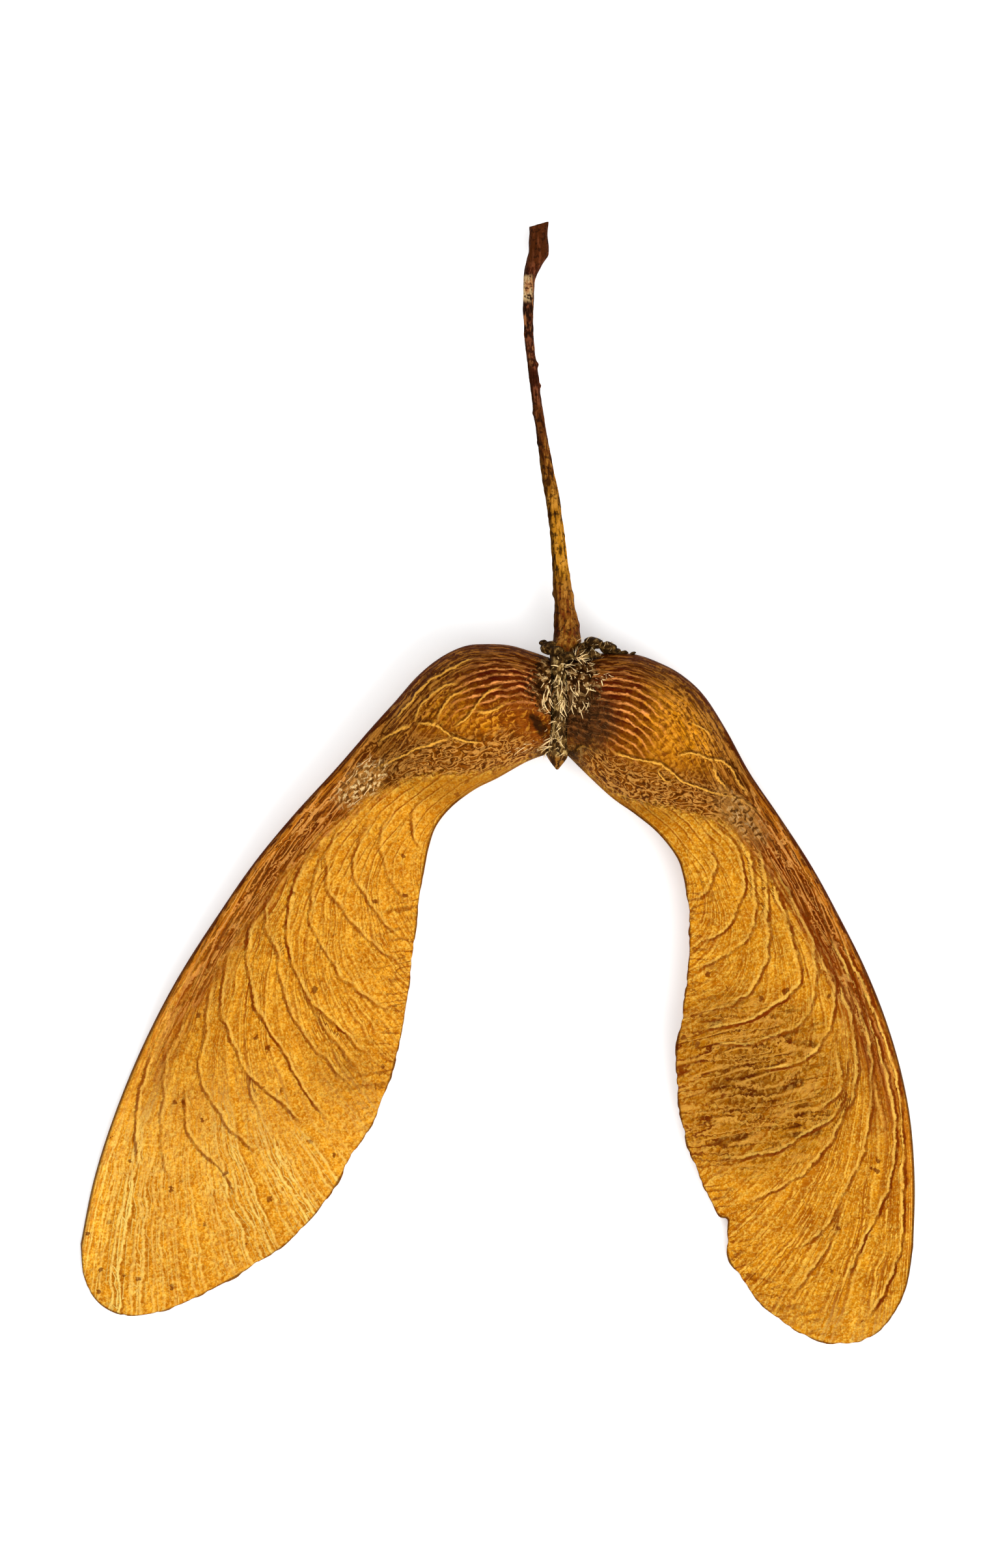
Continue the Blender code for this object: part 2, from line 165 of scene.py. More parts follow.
RIGHT = {
    "name": "samara_right",
    "slot": "right_wing_and_nutlet",
    "fan": 5.0,
    "late": 0.75,
    "outer": [
        (0.38, 2.2), (1.3, 2.35), (2.4, 2.45), (3.55, 2.38), (4.61, 2.02), (5.68, 1.45), (6.74, 0.48),
        (7.81, -1.18), (8.87, -3.11), (10.2, -5.06), (11.6, -7.19), (12.8, -9.32), (14.4, -12.5),
        (15.6, -15.7), (16.35, -18.9), (16.62, -22.1), (16.55, -25.3),
    ],
    "inner": [
        (0.38, -2.3), (1.42, -3.33), (2.48, -4.3), (3.55, -5.06), (4.61, -5.94), (5.5, -7.1), (5.85, -8.2),
    ],
    "margin": [
        (16.55, -25.3), (16.2, -27.3), (15.3, -28.9), (14.2, -29.7), (12.9, -29.85), (11.6, -29.5),
        (10.2, -28.7), (8.95, -27.5), (8.2, -26.4), (7.82, -25.6), (7.8, -24.6), (7.86, -23.95),
        (7.35, -23.7), (6.5, -22.0), (5.8, -20.0), (5.45, -17.8), (5.42, -16.2), (5.68, -14.4),
        (5.94, -12.5), (6.03, -10.4), (5.85, -8.2),
    ],
    "nutlet": {"middle": (3.5, -0.9), "angle": 316.0, "half_length": 5.5, "half_width": 3.4},
    "lines": [
        [(2.38, -2.19), (3.34, -2.41), (4.15, -2.63), (4.89, -2.85), (5.48, -3.37), (6.06, -3.73),
         (6.8, -3.88), (7.68, -4.17), (8.64, -4.47), (9.6, -5.28), (10.3, -5.94)],
        [(5.33, -2.41), (5.84, -2.26), (6.28, -2.22), (7.02, -2.48), (7.68, -2.63), (8.12, -3.0),
         (8.42, -3.59), (8.86, -4.25)],
        [(5.84, -0.79), (6.58, -1.01), (6.87, -1.3), (7.24, -1.6)],
        [(4.89, -2.85), (4.59, -3.07), (4.89, -3.44), (5.33, -3.66)],
        [(7.17, -2.63), (7.24, -3.29), (7.61, -3.73), (7.98, -4.17)],
        [(1.65, -2.11), (1.06, -1.89), (0.62, -2.41)],
    ],
    "veins": [
        (0.7, [(6.9, -5.6), (7.1, -6.5), (7.35, -7.3), (7.3, -7.95), (6.95, -8.6), (6.55, -9.07),
            (6.2, -9.5)]),
        (0.95, [(7.0, -5.3), (7.77, -5.9), (8.14, -6.3), (8.42, -6.83), (8.62, -7.5), (8.7, -8.23),
            (8.55, -9.0), (8.2, -9.9), (7.8, -10.5), (7.1, -10.95), (6.3, -11.2)]),
        (0.75, [(8.1, -5.6), (8.5, -6.17), (8.88, -6.73), (9.1, -7.4), (9.18, -8.2), (9.25, -9.3),
            (9.17, -10.19), (8.98, -10.66), (8.5, -11.2), (7.8, -11.7), (7.0, -12.1), (6.2, -12.4)]),
        (0.8, [(9.2, -6.3), (9.6, -7.3), (9.8, -8.5), (9.8, -9.8), (9.84, -10.9), (9.78, -11.8),
            (9.4, -12.5), (9.07, -13.27), (8.4, -13.8), (7.4, -14.2), (6.3, -14.6)]),
        (1.0, [(9.6, -7.2), (10.0, -8.14), (10.4, -9.1), (10.8, -10.2), (11.05, -11.2), (11.28, -12.2),
            (11.25, -12.95), (10.76, -13.55), (10.2, -13.95), (9.5, -14.4), (8.9, -14.75), (8.2, -14.97),
            (7.2, -15.1), (6.2, -15.3)]),
        (0.65, [(10.1, -7.4), (10.9, -8.9), (11.5, -10.0), (11.95, -11.2), (12.1, -12.4), (11.95, -13.6),
            (11.6, -14.6), (10.9, -15.15), (10.0, -15.5), (9.0, -15.8), (7.9, -15.8), (6.8, -15.7)]),
        (0.9, [(10.8, -8.7), (11.6, -10.0), (12.3, -11.2), (12.8, -12.1), (12.93, -13.2), (12.9, -14.4),
            (12.6, -15.3), (12.1, -16.1), (11.2, -16.7), (10.2, -17.0), (9.2, -17.0)]),
        (0.85, [(11.8, -10.7), (12.5, -12.0), (13.1, -13.0), (13.5, -13.8), (13.8, -14.8), (13.95, -15.9),
            (14.0, -17.0), (13.8, -18.2), (13.3, -19.2), (12.8, -20.3), (12.1, -21.2), (11.3, -21.95),
            (10.4, -22.45), (9.4, -23.0), (8.6, -23.3)]),
        (0.85, [(13.0, -15.4), (13.1, -16.6), (13.35, -17.7), (12.93, -18.3), (12.4, -18.7), (11.9, -19.1)]),
        (0.9, [(13.5, -15.9), (13.5, -17.0), (13.4, -18.2), (13.05, -19.0), (12.6, -19.5), (12.0, -19.75),
            (11.4, -20.1), (10.8, -20.6), (10.1, -20.85), (9.2, -21.05), (8.2, -21.2), (7.2, -21.3)]),
        (0.8, [(13.6, -12.9), (14.2, -14.4), (14.6, -15.8), (14.72, -17.0), (14.66, -18.4), (14.5, -19.9),
            (14.2, -21.2), (13.6, -22.25), (13.15, -23.2), (12.8, -24.0), (12.0, -24.9), (11.1, -25.4)]),
        (0.7, [(13.1, -23.1), (12.95, -24.4), (12.4, -25.6), (11.6, -26.7), (10.9, -27.8)]),
        (1.0, [(12.7, -10.6), (13.5, -12.2), (14.2, -13.8), (14.86, -15.4), (15.3, -16.85), (15.6, -18.1),
            (15.77, -19.2), (15.8, -20.4), (15.74, -21.4), (15.5, -22.4), (15.1, -23.4), (14.5, -24.6),
            (13.9, -25.9), (13.4, -27.2)]),
        (1.0, [(13.2, -10.7), (14.1, -12.5), (14.9, -14.4), (15.45, -15.9), (15.8, -17.1), (16.0, -18.3),
            (16.13, -19.6), (16.18, -21.3), (16.15, -23.2), (16.1, -24.9), (15.85, -25.9), (15.5, -27.0),
            (15.0, -27.9), (14.5, -28.5), (14.15, -29.05)]),
        (0.75, [(5.7, -18.0), (6.5, -18.0), (7.3, -17.93)]),
        (0.7, [(6.2, -14.7), (6.9, -14.62), (7.45, -14.6), (7.75, -14.25)]),
    ],
    "border": [
        (0.3, -2.4), (1.2, -3.0), (2.3, -4.0), (3.3, -4.5), (4.5, -4.75), (6.0, -5.0), (7.5, -5.5),
        (9.0, -6.5), (10.5, -7.9), (12.0, -9.9),
    ],
    "ribs_end": 0.74,
    "stain": {"middle": (8.7, -17.5), "half_x": 4.2, "half_y": 4.0, "strength": 1.0},
    "glow": {"middle": (5.4, -1.0), "half_x": 2.6, "half_y": 2.1, "colour": (206, 128, 14)},
    "neck": {"middle": (8.5, -5.2), "way": (-0.66, 0.75), "long": 1.9, "wide": 0.7, "strength": 0.2},
    "pale_below": (-27.0, -32.0),
    "tones": ((178, 106, 0), (232, 158, 28)),
    "shine": (222, 144, 26),
    "lit_side": -1.0,
    "stripes": 1.0,
}

# The stalk from its cut end to the style: x, y, half width across, half height, height of the middle.
STALK_STATIONS = [
    (-0.91, 22.44, 0.43, 0.36, 1.00), (-0.92, 22.0, 0.43, 0.39, 1.00), (-0.93, 21.5, 0.43, 0.42, 1.01),
    (-0.96, 21.05, 0.44, 0.42, 1.03), (-1.07, 20.75, 0.40, 0.39, 1.06), (-1.21, 20.4, 0.34, 0.35, 1.10),
    (-1.33, 20.05, 0.28, 0.32, 1.13), (-1.39, 19.6, 0.25, 0.29, 1.17), (-1.42, 18.8, 0.25, 0.26, 1.23),
    (-1.42, 17.8, 0.22, 0.24, 1.30), (-1.36, 16.8, 0.21, 0.23, 1.38), (-1.16, 15.2, 0.21, 0.24, 1.50),
    (-1.02, 14.1, 0.22, 0.25, 1.58), (-0.86, 13.0, 0.24, 0.26, 1.66), (-0.68, 11.9, 0.26, 0.28, 1.74),
    (-0.53, 10.9, 0.30, 0.30, 1.81), (-0.35, 9.8, 0.31, 0.31, 1.88), (-0.18, 8.8, 0.32, 0.32, 1.95),
    (-0.05, 7.7, 0.33, 0.33, 2.02), (0.04, 6.65, 0.36, 0.36, 2.09), (0.16, 5.5, 0.42, 0.42, 2.16),
    (0.27, 4.5, 0.48, 0.48, 2.22), (0.33, 3.8, 0.55, 0.58, 2.28), (0.35, 3.3, 0.62, 0.78, 2.32),
    (0.33, 2.9, 0.66, 1.0, 2.34), (0.2, 2.55, 0.6, 1.2, 2.35), (0.08, 2.3, 0.52, 1.35, 2.35),
    (0.0, 2.0, 0.46, 1.5, 2.35), (0.0, 1.2, 0.46, 1.7, 2.35), (0.0, 0.0, 0.46, 1.78, 2.35),
    (0.0, -1.2, 0.46, 1.55, 2.35), (-0.04, -1.9, 0.5, 1.1, 2.4), (-0.08, -2.3, 0.5, 0.6, 2.45),
    (-0.08, -2.55, 0.36, 0.4, 2.45), (-0.08, -2.8, 0.19, 0.22, 2.45), (-0.08, -2.98, 0.05, 0.06, 2.45),
]
STALK_ROWS = 460
STALK_SIDES = 56
# Little warts on the stalk: y, angle round it in degrees, height, width.
WARTS = [
    (15.9, 10, 0.13, 0.16), (14.9, 5, 0.08, 0.12), (13.6, 175, 0.08, 0.14), (17.3, 150, 0.05, 0.15),
    (10.1, 60, 0.06, 0.12), (7.9, 20, 0.06, 0.12), (6.1, 350, 0.05, 0.14), (5.2, 185, 0.07, 0.16),
    (12.2, 185, 0.05, 0.12), (8.8, 170, 0.05, 0.14), (4.6, 80, 0.05, 0.12), (18.6, 30, 0.05, 0.14),
]
# Crumpled remains of the flower's disc round the stalk's foot: middle and half sizes.
CRUMBS = [
    ((-0.42, 2.68, 3.0), (0.36, 0.24, 0.42)), ((-0.72, 2.86, 2.7), (0.2, 0.16, 0.3)),
    ((-0.1, 2.45, 3.5), (0.4, 0.22, 0.3)), ((1.25, 2.72, 2.9), (0.42, 0.3, 0.5)),
    ((1.72, 2.86, 2.85), (0.44, 0.27, 0.45)), ((2.2, 2.68, 2.8), (0.36, 0.24, 0.4)),
    ((2.62, 2.5, 2.75), (0.26, 0.15, 0.3)), ((3.05, 2.46, 2.6), (0.2, 0.1, 0.22)),
    ((3.42, 2.42, 2.55), (0.14, 0.08, 0.18)), ((0.95, 2.35, 3.4), (0.4, 0.25, 0.3)),
    ((1.5, 2.3, 3.45), (0.36, 0.2, 0.25)), ((0.35, 2.3, 3.75), (0.34, 0.2, 0.22)),
]


def smooth_line(points, steps=10):
    """A Catmull-Rom curve through given points, with its length from the start at each sample."""
    hand = np.array(points, float)
    ends = np.vstack([2 * hand[0] - hand[1], hand, 2 * hand[-1] - hand[-2]])
    t = np.linspace(0.0, 1.0, steps, endpoint=False)[:, None]
    parts = []
    for a, b, c, d in zip(ends[:-3], ends[1:-2], ends[2:-1], ends[3:]):
        parts.append(0.5 * (2 * b + (c - a) * t + (2 * a - 5 * b + 4 * c - d) * t**2
                            + (3 * b - a - 3 * c + d) * t**3))
    line = np.vstack([*parts, hand[-1:]])
    lengths = np.concatenate([[0.0], np.cumsum(np.linalg.norm(np.diff(line, axis=0), axis=1))])
    return line, lengths


def along(points, fractions):
    """Points at the given fractions of a smooth line's length."""
    line, lengths = smooth_line(points)
    where = np.asarray(fractions) * lengths[-1]
    return np.stack([np.interp(where, lengths, line[:, k]) for k in range(line.shape[1])], axis=-1)


def smoothstep(low, high, value):
    """0 at low, 1 at high, and smooth between."""
    t = np.clip((value - low) / (high - low), 0.0, 1.0)
    return t * t * (3 - 2 * t)


def distance_to(points, grid):
    """How far each grid point is from a smooth line."""
    line, _ = smooth_line(points, steps=6)
    best = np.full(grid.shape[:-1], np.inf)
    for a, b in zip(line[:-1], line[1:]):
        step = b - a
        offset = grid - a
        t = np.clip(offset @ step / (step @ step), 0.0, 1.0)
        best = np.minimum(best, np.linalg.norm(offset - t[..., None] * step, axis=-1))
    return best


def ripples(place, size, seed, waves=14):
    """Smooth noise between about -1 and 1 with bumps of the given size, from seeded sine waves."""
    draw = np.random.default_rng(seed)
    total = np.zeros(place.shape[:-1])
    for _ in range(waves):
        way = draw.normal(size=place.shape[-1])
        way *= draw.uniform(0.6, 1.5) * math.pi / (size * np.linalg.norm(way))
        total += np.sin(place @ way + draw.uniform(0, 2 * math.pi))
    return total / math.sqrt(waves)


def vein_grid(samara, us, vs):
    """Points in plan whose columns, each with one v, run as the veins do: out of the seam, along the
    leading edge, then away from it to the inner margin."""
    early = (1 - samara["late"]) * us + samara["late"] * (1 - (1 - us) ** 1.8)
    outer, inner = along(samara["outer"], early)[:, None], along(samara["inner"], early)[:, None]
    margin = along(samara["margin"], vs)[None]
    u, v = us[:, None, None], vs[None, :, None]
    hug = HUG * smoothstep(0.0, 0.5, u)
    share = v * (1 - hug * (1 - v))
    plain = (1 - share) * outer + share * inner
    seam = (1 - v) * outer[:1] + v * inner[:1]
    last_share = v * (1 - HUG * (1 - v))
    end = (1 - last_share) * outer[-1:] + last_share * inner[-1:]
    fan = samara["fan"] - TIP_FAN_LESS * (1 - smoothstep(0.0, 0.5, v))
    return plain + u**fan * (margin - end) + (1 - u) ** 2 * (seam - plain[:1])


def bulge(nutlet, grid):
    """How much of the nutlet's full thickness there is at each point, as a flattened egg."""
    angle = math.radians(nutlet["angle"])
    offset = grid - np.array(nutlet["middle"])
    forward = offset[..., 0] * math.cos(angle) + offset[..., 1] * math.sin(angle)
    sideways = offset[..., 1] * math.cos(angle) - offset[..., 0] * math.sin(angle)
    out = (forward / nutlet["half_length"]) ** 2 + (sideways / nutlet["half_width"]) ** 2
    return np.clip(1 - out, 0.0, 1.0) ** NUTLET_FULLNESS


def mid_height(grid, vs):
    """Height of the middle of the wing, which droops from the nutlet to the tip and ripples."""
    reach = np.linalg.norm(grid, axis=-1)
    drop = smoothstep(DROOP_START, DROOP_END, reach)
    height = NUTLET_MID_HEIGHT + (TIP_MID_HEIGHT - NUTLET_MID_HEIGHT) * drop
    wing = smoothstep(WING_START, 14.0, reach) * vs[None, :] ** 1.5
    wave = RIPPLE * np.sin(2 * math.pi * reach / RIPPLE_LENGTH)
    return height + wing * (wave + INNER_LIFT)


def split_quads(plan):
    """Two triangles for each quad of a grid, cut along the diagonal that leaves them fullest."""
    rows, columns = plan.shape[:2]
    i, j = np.meshgrid(np.arange(rows - 1), np.arange(columns - 1), indexing="ij")
    corners = [(i, j), (i + 1, j), (i + 1, j + 1), (i, j + 1)]
    index = [a * columns + b for a, b in corners]
    place = [plan[a, b] for a, b in corners]

    def area(a, b, c):
        p, q = place[b] - place[a], place[c] - place[a]
        return 0.5 * (p[..., 0] * q[..., 1] - p[..., 1] * q[..., 0])

    turn = math.copysign(1.0, float(np.median(area(0, 1, 2))))
    first = np.minimum(turn * area(0, 1, 2), turn * area(0, 2, 3))
    second = np.minimum(turn * area(0, 1, 3), turn * area(1, 2, 3))
    use_first = (first >= second)[..., None]

    def pick(one, other):
        cuts = [np.stack([index[k] for k in three], -1) for three in (one, other)]
        return np.where(use_first, *cuts).reshape(-1, 3)

    triangles = np.concatenate([pick((0, 1, 2), (0, 1, 3)), pick((0, 2, 3), (1, 2, 3))])
    return triangles if turn > 0 else triangles[:, ::-1]


def line_field(lines, place, ends):
    """Signed and plain distance to the nearest of several curves, and how strong that curve is there.
    The sign tells the curve's two sides apart, so that a thin line stays sharp between mesh points."""
    flat = place.reshape(-1, 2)
    signed, plain, strength = (np.full(len(flat), value) for value in (FAR, FAR, 0.0))
    for weight, points in lines:
        line, lengths = smooth_line(points, steps=5)
        for a, b, so_far in zip(line[:-1], line[1:], lengths[:-1]):
            step = b - a
            size = math.hypot(*step)
            near = np.flatnonzero(np.all(np.abs(flat - 0.5 * (a + b)) < 0.6 + 0.5 * size, axis=1))
            offset = flat[near] - a
            t = np.clip(offset @ step / size**2, 0.0, 1.0)
            far = np.linalg.norm(offset - t[:, None] * step, axis=1)
            closer = far < plain[near]
            near, t, far, offset = near[closer], t[closer], far[closer], offset[closer]
            side = np.sign(step[0] * offset[:, 1] - step[1] * offset[:, 0])
            run = so_far + t * size
            fade = smoothstep(0.0, ends, run) * smoothstep(0.0, ends, lengths[-1] - run)
            signed[near], plain[near], strength[near] = side * far, far, weight * fade
    return np.stack([signed, plain, strength], axis=-1).reshape(*place.shape[:-1], 3)


def vein_tree(seed):
    """Forking veins from the seam to the margin, as start and end of each branch on the way out, its
    place across the wing before and after the fork, and its strength."""
    draw = np.random.default_rng(seed)
    branches = []

    def branch(start, before, place, wide, level, strength):
        end = 1.01 if level == FORKS else start + draw.uniform(0.16, 0.42)
        branches.append((start, min(end, 1.01), before, place, strength))
        if end < 1.0:
            for side in (-1, 1):
                beside = place + side * wide * draw.uniform(0.19, 0.29)
                branch(end, place, beside, 0.5 * wide, level + 1, strength * draw.uniform(0.75, 1.0))

    for number in range(MAIN_VEINS):
        place = (number + 0.5 + draw.uniform(-0.15, 0.15)) / MAIN_VEINS
        branch(0.0, place, place, 1 / MAIN_VEINS, 0, draw.uniform(0.8, 1.0))
    return branches


def tree_field(branches, progress, v, spread):
    """Signed and plain distance to the nearest branch, and its strength there."""
    signed, strength = np.full(v.shape, FAR), np.zeros(v.shape)
    for start, end, before, place, weight in branches:
        path = before + (place - before) * smoothstep(start, start + FORK_LENGTH, progress)
        off = (v - path) * spread
        closer = (progress >= start) & (progress <= end) & (np.abs(off) < np.abs(signed))
        signed[closer], strength[closer] = off[closer], weight
    return np.dstack([signed, np.abs(signed), strength])


def skin_grid(samara, seed):
    """The samara's plan as rows and columns of points, with small nicks along the margin."""
    us = np.concatenate([
        np.linspace(0.0, NUTLET_SHARE, NUTLET_ROWS, endpoint=False),
        np.linspace(NUTLET_SHARE, 0.992, WING_ROWS),
        MARGIN_ROWS,
    ])
    vs = np.linspace(0.0, 1.0, COLUMNS) ** 0.8
    plan = vein_grid(samara, us, vs)
    inward = (plan[-4:-3] - plan[-1:]) / np.linalg.norm(plan[-4:-3] - plan[-1:], axis=-1)[..., None]
    nick = 0.05 + 0.05 * ripples(plan[-1:], 1.1, seed)
    nick = nick + 0.05 * np.clip(ripples(plan[-1:], 0.35, seed + 1), 0, 1)
    return us, vs, plan + (us[:, None, None] ** 60) * inward * nick[..., None]


def skin_values(samara, vs, plan, seed):
    """What the skin's relief and colours go by, for each point of the grid."""
    lead = distance_to(samara["outer"], plan)
    edge = np.minimum(distance_to(samara["inner"], plan), distance_to(samara["margin"], plan))
    edge = np.minimum(lead, edge)
    edge[-1] = 0.0
    edge[:, 0] = 0.0
    edge[:, -1] = 0.0
    full = bulge(samara["nutlet"], plan)
    reach = np.linalg.norm(plan, axis=-1)
    progress = np.clip((reach - WING_START) / np.maximum(reach[-1:] - WING_START, 0.5), 0.0, 1.0)
    spread = np.linalg.norm(np.diff(plan, axis=1), axis=-1) / np.diff(vs)[None]
    spread = np.pad(0.5 * (spread[:, 1:] + spread[:, :-1]), ((0, 0), (1, 1)), mode="edge")
    steps = np.linalg.norm(np.diff(plan, axis=0), axis=-1)
    run = np.concatenate([np.zeros((1, len(vs))), np.cumsum(steps, axis=0)])
    wobble = 0.09 * ripples(plan, 1.6, seed + 2) + 0.04 * ripples(plan, 0.7, seed + 3)
    inside = smoothstep(0.0, 0.6, edge)
    v = np.clip(vs[None] + inside * wobble / np.maximum(spread, 4.0), 0.0, 1.0)
    shaken = plan + 0.045 * np.stack([ripples(plan, 0.6, seed + 4), ripples(plan, 0.6, seed + 5)], -1)
    border_x, border_y = np.array(samara["border"]).T
    border = plan[..., 1] - np.interp(plan[..., 0], border_x, border_y)
    return {
        "vein_place": np.dstack([progress, v, spread]),
        "zones": np.dstack([lead, edge, full]),
        "paths": np.dstack([run, border, reach]),
        "tree": tree_field(vein_tree(seed), progress, v, spread),
        "traced": line_field(samara["veins"], shaken, 1.2),
        "pale": line_field([(1.0, points) for points in samara["lines"]], shaken, 0.6),
    }


def skin_relief(samara, values, plan, seed):
    """Height of the ribs, raised lines and small bumps on the skin."""
    v, spread = values["vein_place"][..., 1], values["vein_place"][..., 2]
    edge, full = values["zones"][..., 1], values["zones"][..., 2]
    reach = values["paths"][..., 2]
    gap = np.abs(np.mod(v * RIBS, 1.0) - 0.5) / RIBS * spread
    ribbed = smoothstep(0.6, 1.2, reach) * (1 - smoothstep(3.6, 5.2, reach))
    ribbed *= 1 - 0.8 * smoothstep(samara["ribs_end"] - 0.12, samara["ribs_end"] + 0.12, v)
    on_nutlet = smoothstep(0.0, 0.25, full)
    raised = RIB_HEIGHT * np.exp(-((gap / RIB_WIDTH) ** 2)) * ribbed * on_nutlet
    pale = values["pale"]
    raised += LINE_HEIGHT * np.exp(-((pale[..., 1] / LINE_WIDTH) ** 2)) * pale[..., 2]
    raised += 0.025 * ripples(plan, 0.5, seed + 6) * on_nutlet + 0.012 * ripples(plan, 0.45, seed + 7)
    return raised * smoothstep(0.0, 0.4, edge)


def samara_skin(samara, seed):
    """Points, triangles and per-point values of one samara's skin, and the triangles of its upper side."""
    us, vs, plan = skin_grid(samara, seed)
    values = skin_values(samara, vs, plan, seed)
    raised = skin_relief(samara, values, plan, seed)
    progress = values["vein_place"][..., 0]
    lead, edge, full = np.moveaxis(values["zones"], -1, 0)
    reach = values["paths"][..., 2]
    rim = LEADING_EDGE_EXTRA * np.exp(-((lead / LEADING_EDGE_WIDTH) ** 2)) * smoothstep(0.1, 0.3, us)[:, None]
    thickness = WING_THICKNESS + rim * (1 - 0.55 * progress)
    thickness = thickness + NUTLET_THICKNESS * full * smoothstep(-0.1, 0.45, full)
    rounding = np.clip(edge / (0.5 * thickness), 0.0, 1.0)
    half = 0.5 * thickness * np.sqrt(1 - (1 - rounding) ** 2)
    thinner = 0.5 * (SOURCE_WING_THICKNESS - WING_THICKNESS)
    middle = mid_height(plan, vs) - thinner * smoothstep(WING_START, 12.0, reach)
    middle += 0.07 * ripples(plan, 3.2, seed + 8) * smoothstep(8.0, 14.0, reach)
    middle = np.where(full > 0, middle, np.maximum(middle, half + raised))
    top = np.dstack([plan, middle + half + raised])
    bottom = np.dstack([plan, np.maximum(middle - half - 0.6 * raised, 0.0)])

    rows, columns = edge.shape
    upper = split_quads(plan)
    numbers = np.arange(rows * columns).reshape(rows, columns)
    lower_numbers = numbers + rows * columns
    for place in (np.s_[-1], np.s_[:, 0], np.s_[:, -1]):
        lower_numbers[place] = numbers[place]
    lower = lower_numbers.reshape(-1)[upper][:, ::-1]
    high, low = numbers[0], lower_numbers[0]
    cap = np.concatenate([
        np.stack([high[1:], high[:-1], low[:-1]], -1), np.stack([high[1:], low[:-1], low[1:]], -1),
    ])
    if samara["nutlet"]["middle"][0] > 0:
        cap = cap[:, ::-1]
    triangles = np.concatenate([upper, lower, cap])
    a, b, c = triangles.T
    triangles = triangles[(a != b) & (b != c) & (a != c)]
    values = {name: np.vstack([value.reshape(-1, 3)] * 2) for name, value in values.items()}
    return np.vstack([top.reshape(-1, 3), bottom.reshape(-1, 3)]), triangles, values, upper


def tube_faces(rings, sides):
    """Triangles of a closed tube of rings, whose two end points come after the points of the rings."""
    here = np.arange(sides)
    after = (here + 1) % sides
    faces = []
    for start in range(0, (rings - 1) * sides, sides):
        a, b, c, d = start + here, start + after, start + sides + after, start + sides + here
        faces += [np.stack([a, d, c], -1), np.stack([a, c, b], -1)]
    last, count = (rings - 1) * sides, rings * sides
    faces.append(np.stack([here, after, np.full(sides, count)], -1))
    faces.append(np.stack([last + after, last + here, np.full(sides, count + 1)], -1))
    return np.vstack(faces)


def crumpled(middle, sizes, seed, rings=26, sides=36):
    """A crumpled little ball."""
    polar = ((np.arange(rings) + 0.5) / rings * math.pi)[:, None]
    turn = np.arange(sides) / sides * 2 * math.pi
    ball = np.dstack([np.sin(polar) * np.cos(turn), np.sin(polar) * np.sin(turn), np.cos(polar) + 0 * turn])
    ball = ball.reshape(-1, 3)
    fold = np.abs(ripples(ball, 0.9, seed)) - 0.5
    size = 1 + 0.3 * ripples(ball, 1.6, seed + 50) - 0.2 * fold + 0.03 * ripples(ball, 0.35, seed + 90)
    points = np.array(middle) + ball * size[:, None] * np.array(sizes)
    ends = np.array([points[:sides].mean(axis=0), points[-sides:].mean(axis=0)])
    return np.vstack([points, ends]), tube_faces(rings, sides)


def stalk_skin():
    """The stalk, the thin column between the nutlets and the style as one tube, with crumbs at its foot."""
    line = along(STALK_STATIONS, np.linspace(0.0, 1.0, STALK_ROWS))
    angles = np.linspace(0, 2 * math.pi, STALK_SIDES, endpoint=False)[None]
    x, y, across, up, height = (line[:, k, None] for k in range(5))
    twist = 0.12 * y
    on_stalk = smoothstep(2.4, 4.0, y)
    groove = 0.05 * np.sin(7 * angles + twist) + 0.03 * np.sin(17 * angles - 2 * twist + 1)
    place = np.dstack([np.cos(angles) * 0.5 + 0 * y, y + 0 * angles, np.sin(angles) * 0.5 + 0 * y])
    rough = 0.05 * ripples(place * [1, 0.35, 1], 0.35, 5) + 0.035 * ripples(place, 0.3, 6)
    scale = 1 + on_stalk * (groove + rough) + (1 - on_stalk) * 0.1 * ripples(place, 0.4, 7)
    lift = np.zeros_like(scale)
    for at, angle, tall, wide in WARTS:
        turn = np.angle(np.exp(1j * (angles - math.radians(angle)))) * 0.3
        lift += tall * np.exp(-(((y - at) / wide) ** 2) - (turn / (0.6 * wide)) ** 2)
    slant = 0.28 * smoothstep(21.6, 22.44, y) * across * np.cos(angles)
    points = np.dstack([
        x + (across * scale + lift) * np.cos(angles),
        y + slant,
        height + (up * scale + lift) * np.sin(angles),
    ])
    ends = np.array([points[0].mean(axis=0), points[-1].mean(axis=0)])
    points = np.vstack([points.reshape(-1, 3), ends])
    kind = np.zeros((len(points), 3))
    kind[:, 1] = points[:, 1]
    kind[:-2, 2] = np.broadcast_to(angles, (STALK_ROWS, STALK_SIDES)).reshape(-1) / (2 * math.pi)
    all_points, all_faces, all_kinds = [points], [tube_faces(STALK_ROWS, STALK_SIDES)], [kind]
    start = len(points)
    for number, (middle, sizes) in enumerate(CRUMBS):
        crumb, faces = crumpled(middle, sizes, 20 + number)
        ones = np.ones(len(crumb))
        all_points.append(crumb)
        all_faces.append(faces + start)
        all_kinds.append(np.column_stack([ones, crumb[:, 1], 0 * ones]))
        start += len(crumb)
    return np.vstack(all_points), np.vstack(all_faces), {"kind": np.vstack(all_kinds)}


